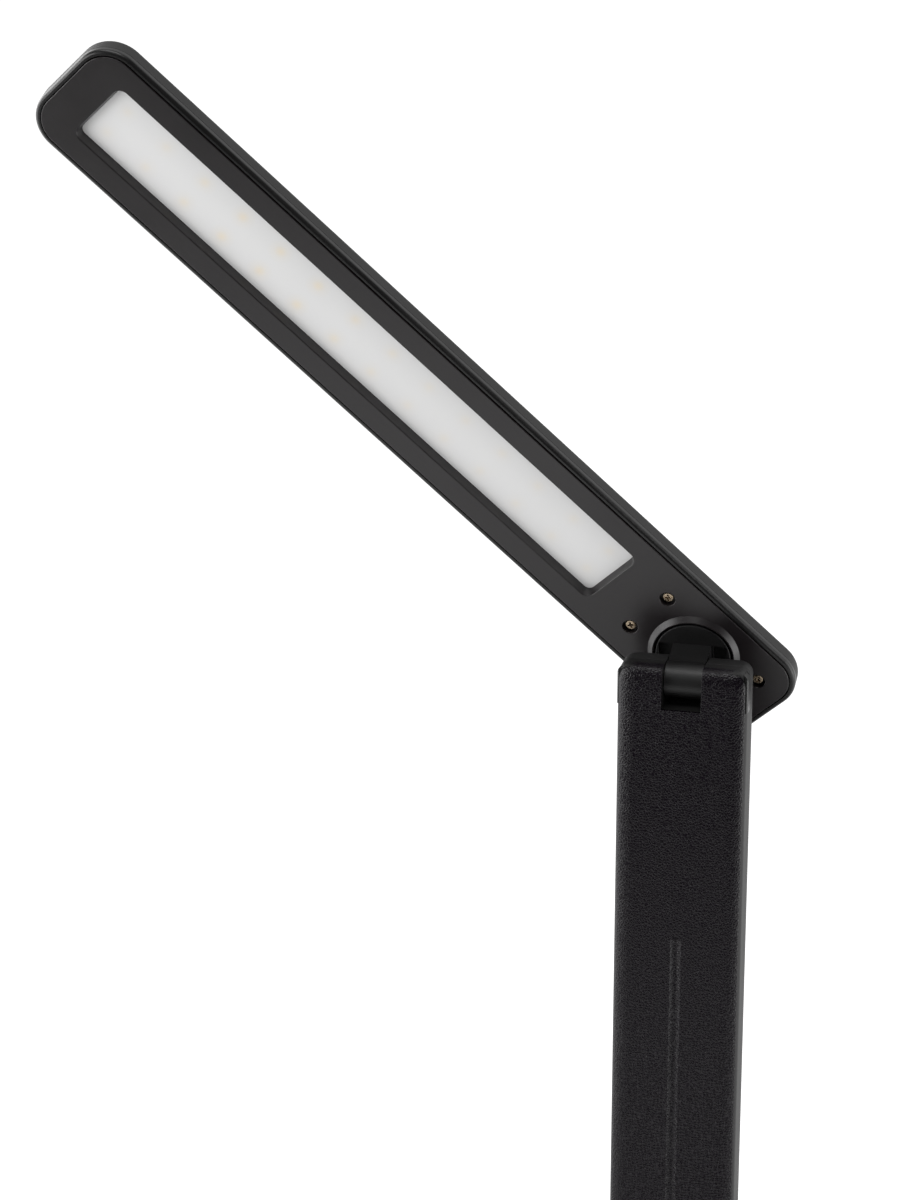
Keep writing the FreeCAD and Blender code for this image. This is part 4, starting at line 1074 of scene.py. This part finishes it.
class LAMP_OT_stage(bpy.types.Operator):
    """White table, soft lamps, a dark tent that only gloss shows, the world and the camera."""
    bl_idname = "lamp.stage"
    bl_label = "Stage"

    def execute(self, context):
        sizes = context.scene.lamp_stage
        self.add_table(sizes)
        self.add_lamps()
        self.add_tent(sizes)
        self.add_world(sizes)
        camera = bpy.data.cameras.new("camera")
        camera.sensor_fit = "VERTICAL"
        camera.sensor_height = 36
        camera.lens = sizes.lens
        camera.clip_end = 50
        stand = add_object("camera", camera)
        stand.location = sizes.camera_place
        stand.rotation_euler = (math.pi / 2 - sizes.camera_tilt, 0, sizes.camera_turn)
        context.scene.camera = stand
        context.scene.view_settings.view_transform = "Standard"
        return {"FINISHED"}

    @staticmethod
    def add_table(sizes):
        """A level white sheet that ends a little before the lamp. To the camera its colour glows less close to
        the lamp, a painted shadow round it, and is white further off. Gloss sees another table with
        painted shade, dark round the lamp and dim before it on the left."""
        material, tree, surface = stage_material("white table")
        seen, gloss = seen_rays(tree)
        plain = add_node(tree, "ShaderNodeBsdfDiffuse", Color=(0.9, 0.9, 0.9, 1))
        part = add_node(tree, "ShaderNodeBsdfDiffuse", Color=(0.4, 0.4, 0.4, 1))
        place = object_place(tree)
        ramp_end = 2.0  # how far from the origin the ramps of reach end
        behind_start = -0.15
        distance = add_node(tree, "ShaderNodeVectorMath", operation="LENGTH")
        tree.links.new(place, distance.inputs[0])
        reach = math_node(tree, "MULTIPLY", distance.outputs["Value"], 1 / ramp_end)
        # Painted shadow: to the camera the table glows less near the lamp, a darker pool round its base.
        clear = ramp(tree, reach, ((0.02, 0.45), (0.13, 0.92)))
        # Painted shade for gloss: dark round the lamp, and dimmer before it on the left through left and behind.
        painted_shade_round_lamp = ramp(tree, reach, ((0.07, 0.0), (0.17, 0.92)))
        axes = axes_of(tree, place)
        left = ramp(tree, math_node(tree, "SUBTRACT", axes["X"], axes["Y"]),
                    ((0.0, 0.32), (0.09, 1.0)))
        behind = ramp(tree, math_node(tree, "SUBTRACT", axes["Y"], behind_start),
                      ((0.0, 0.0), (0.1, 1.0)))
        dim = math_node(tree, "MULTIPLY", painted_shade_round_lamp, math_node(tree, "MAXIMUM", left, behind))
        glow = add_node(tree, "ShaderNodeEmission", Strength=math_node(
            tree, "ADD", math_node(tree, "MULTIPLY", dim, gloss),
            math_node(tree, "MULTIPLY", clear, math_node(tree, "SUBTRACT", 1.0, gloss))))
        both = tree.nodes.new("ShaderNodeAddShader")
        mix = tree.nodes.new("ShaderNodeMixShader")
        for output, socket in ((part.outputs[0], both.inputs[0]), (glow.outputs[0], both.inputs[1]),
                               (seen, mix.inputs[0]), (plain.outputs[0], mix.inputs[1]),
                               (both.outputs[0], mix.inputs[2]), (mix.outputs[0], surface)):
            tree.links.new(output, socket)
        x, y = np.meshgrid((-sizes.table_reach, sizes.table_reach),
                           (-sizes.table_front, sizes.table_reach))
        stage_sheet("table", x, y, 0.0, material)

    @staticmethod
    def add_lamps():
        """Soft boxes: place, the point that each is aimed at, and width, height and brightness of
        its face. A box gives pi * width * height * brightness watts."""
        for name, place, aim, width, height, brightness in (
                ("overhead box", (-0.15, -0.45, 1.5), (0.0, 0.05, 0.3), 1.1, 0.36, 5.0),
                ("front box", (-0.2, -1.5, 1.45), (0.0, 0.05, 0.33), 0.6, 0.4, 1.6),
                ("right box", (0.6, -0.02, 0.3), (0.0, 0.05, 0.3), 0.45, 0.58, 2.6),
                ("left box", (-0.6, -0.1, 0.3), (0.0, 0.05, 0.3), 0.5, 0.58, 1.6),
                ("side box", (-0.95, -0.68, 0.5), (-0.1, 0.05, 0.4), 0.55, 0.6, 4.0),
                ("tip box", (-1.25, 0.12, 0.66), (-0.15, 0.0, 0.48), 0.55, 0.45, 5.0),
                ("far box", (-1.4, 0.75, 0.75), (0.0, 0.05, 0.3), 1.1, 1.0, 2.8)):
            light = bpy.data.lights.new(name, "AREA")
            light.shape = "RECTANGLE"
            light.size = width
            light.size_y = height
            light.energy = math.pi * width * height * brightness
            lamp = add_object(name, light)
            lamp.location = place
            lamp.visible_camera = False
            lamp.rotation_euler = (Vector(aim) - Vector(place)).to_track_quat("-Z", "Y").to_euler()

    @staticmethod
    def add_tent(sizes):
        """Dark cloth before and over the stage, part of a ball, which only gloss sees: radius *
        (sin a cos b, -cos a cos b, sin b), with a up to the tent's spread on both sides. It hides
        the white background from gloss there; the soft boxes stand inside it."""
        spread = math.radians(100)
        turn, rise = np.meshgrid(np.linspace(-spread, spread, 49),
                                 np.linspace(-math.pi / 2, math.pi / 2, 25))
        across, forward, up = (sizes.tent_radius * share for share in (
            np.sin(turn) * np.cos(rise), -np.cos(turn) * np.cos(rise), np.sin(rise)))
        material, tree, surface = stage_material("dark cloth")
        glow = add_node(tree, "ShaderNodeEmission", Strength=sizes.tent_tone)
        tree.links.new(glow.outputs[0], surface)
        tent = stage_sheet("dark tent", across, forward, up, material)
        for rays in ("camera", "diffuse", "transmission", "shadow"):
            setattr(tent, "visible_" + rays, False)

    @staticmethod
    def add_world(sizes):
        """Even pale light, and white for camera, glossy and transmitted rays that leave the
        stage."""
        world = bpy.data.worlds.new("studio")
        bpy.context.scene.world = world
        world.use_nodes = True
        tree = world.node_tree
        seen, _ = seen_rays(tree)
        feed(tree, tree.nodes["Background"], Color=(1, 1, 1, 1),
             Strength=math_node(tree, "MULTIPLY_ADD", seen, 1 - sizes.fill, sizes.fill))


class LAMP_PT_panel(bpy.types.Panel):
    """Lists the steps that dress the lamp."""
    bl_idname = "LAMP_PT_panel"
    bl_label = "Desk lamp"
    bl_space_type = "VIEW_3D"
    bl_region_type = "UI"
    bl_category = "Desk lamp"

    def draw(self, context):
        for operator in OPERATORS:
            self.layout.operator(operator.bl_idname, text=operator.bl_label)
        for name in SETTINGS:
            box = self.layout.box()
            settings = getattr(context.scene, name)
            for key in settings.__annotations__:
                box.prop(settings, key)


OPERATORS = (LAMP_OT_inner_pieces, LAMP_OT_head_shells, LAMP_OT_lower_cover, LAMP_OT_diffuser,
             LAMP_OT_head_screws, LAMP_OT_knuckle, LAMP_OT_leather, LAMP_OT_side_caps,
             LAMP_OT_post_shells, LAMP_OT_base, LAMP_OT_stage)


def register():
    for group in SETTINGS.values():
        bpy.utils.register_class(group)
    for operator in OPERATORS:
        bpy.utils.register_class(operator)
    bpy.utils.register_class(LAMP_PT_panel)
    for name, group in SETTINGS.items():
        setattr(bpy.types.Scene, name, PointerProperty(type=group))


def unregister():
    for name in SETTINGS:
        delattr(bpy.types.Scene, name)
    bpy.utils.unregister_class(LAMP_PT_panel)
    for operator in reversed(OPERATORS):
        bpy.utils.unregister_class(operator)
    for group in reversed(list(SETTINGS.values())):
        bpy.utils.unregister_class(group)


def main():
    register()
    materials.update(make_materials())
    for operator in OPERATORS:
        group, step = operator.bl_idname.split(".")
        getattr(getattr(bpy.ops, group), step)()
    bpy.context.view_layer.update()


if __name__ == "__main__":
    main()
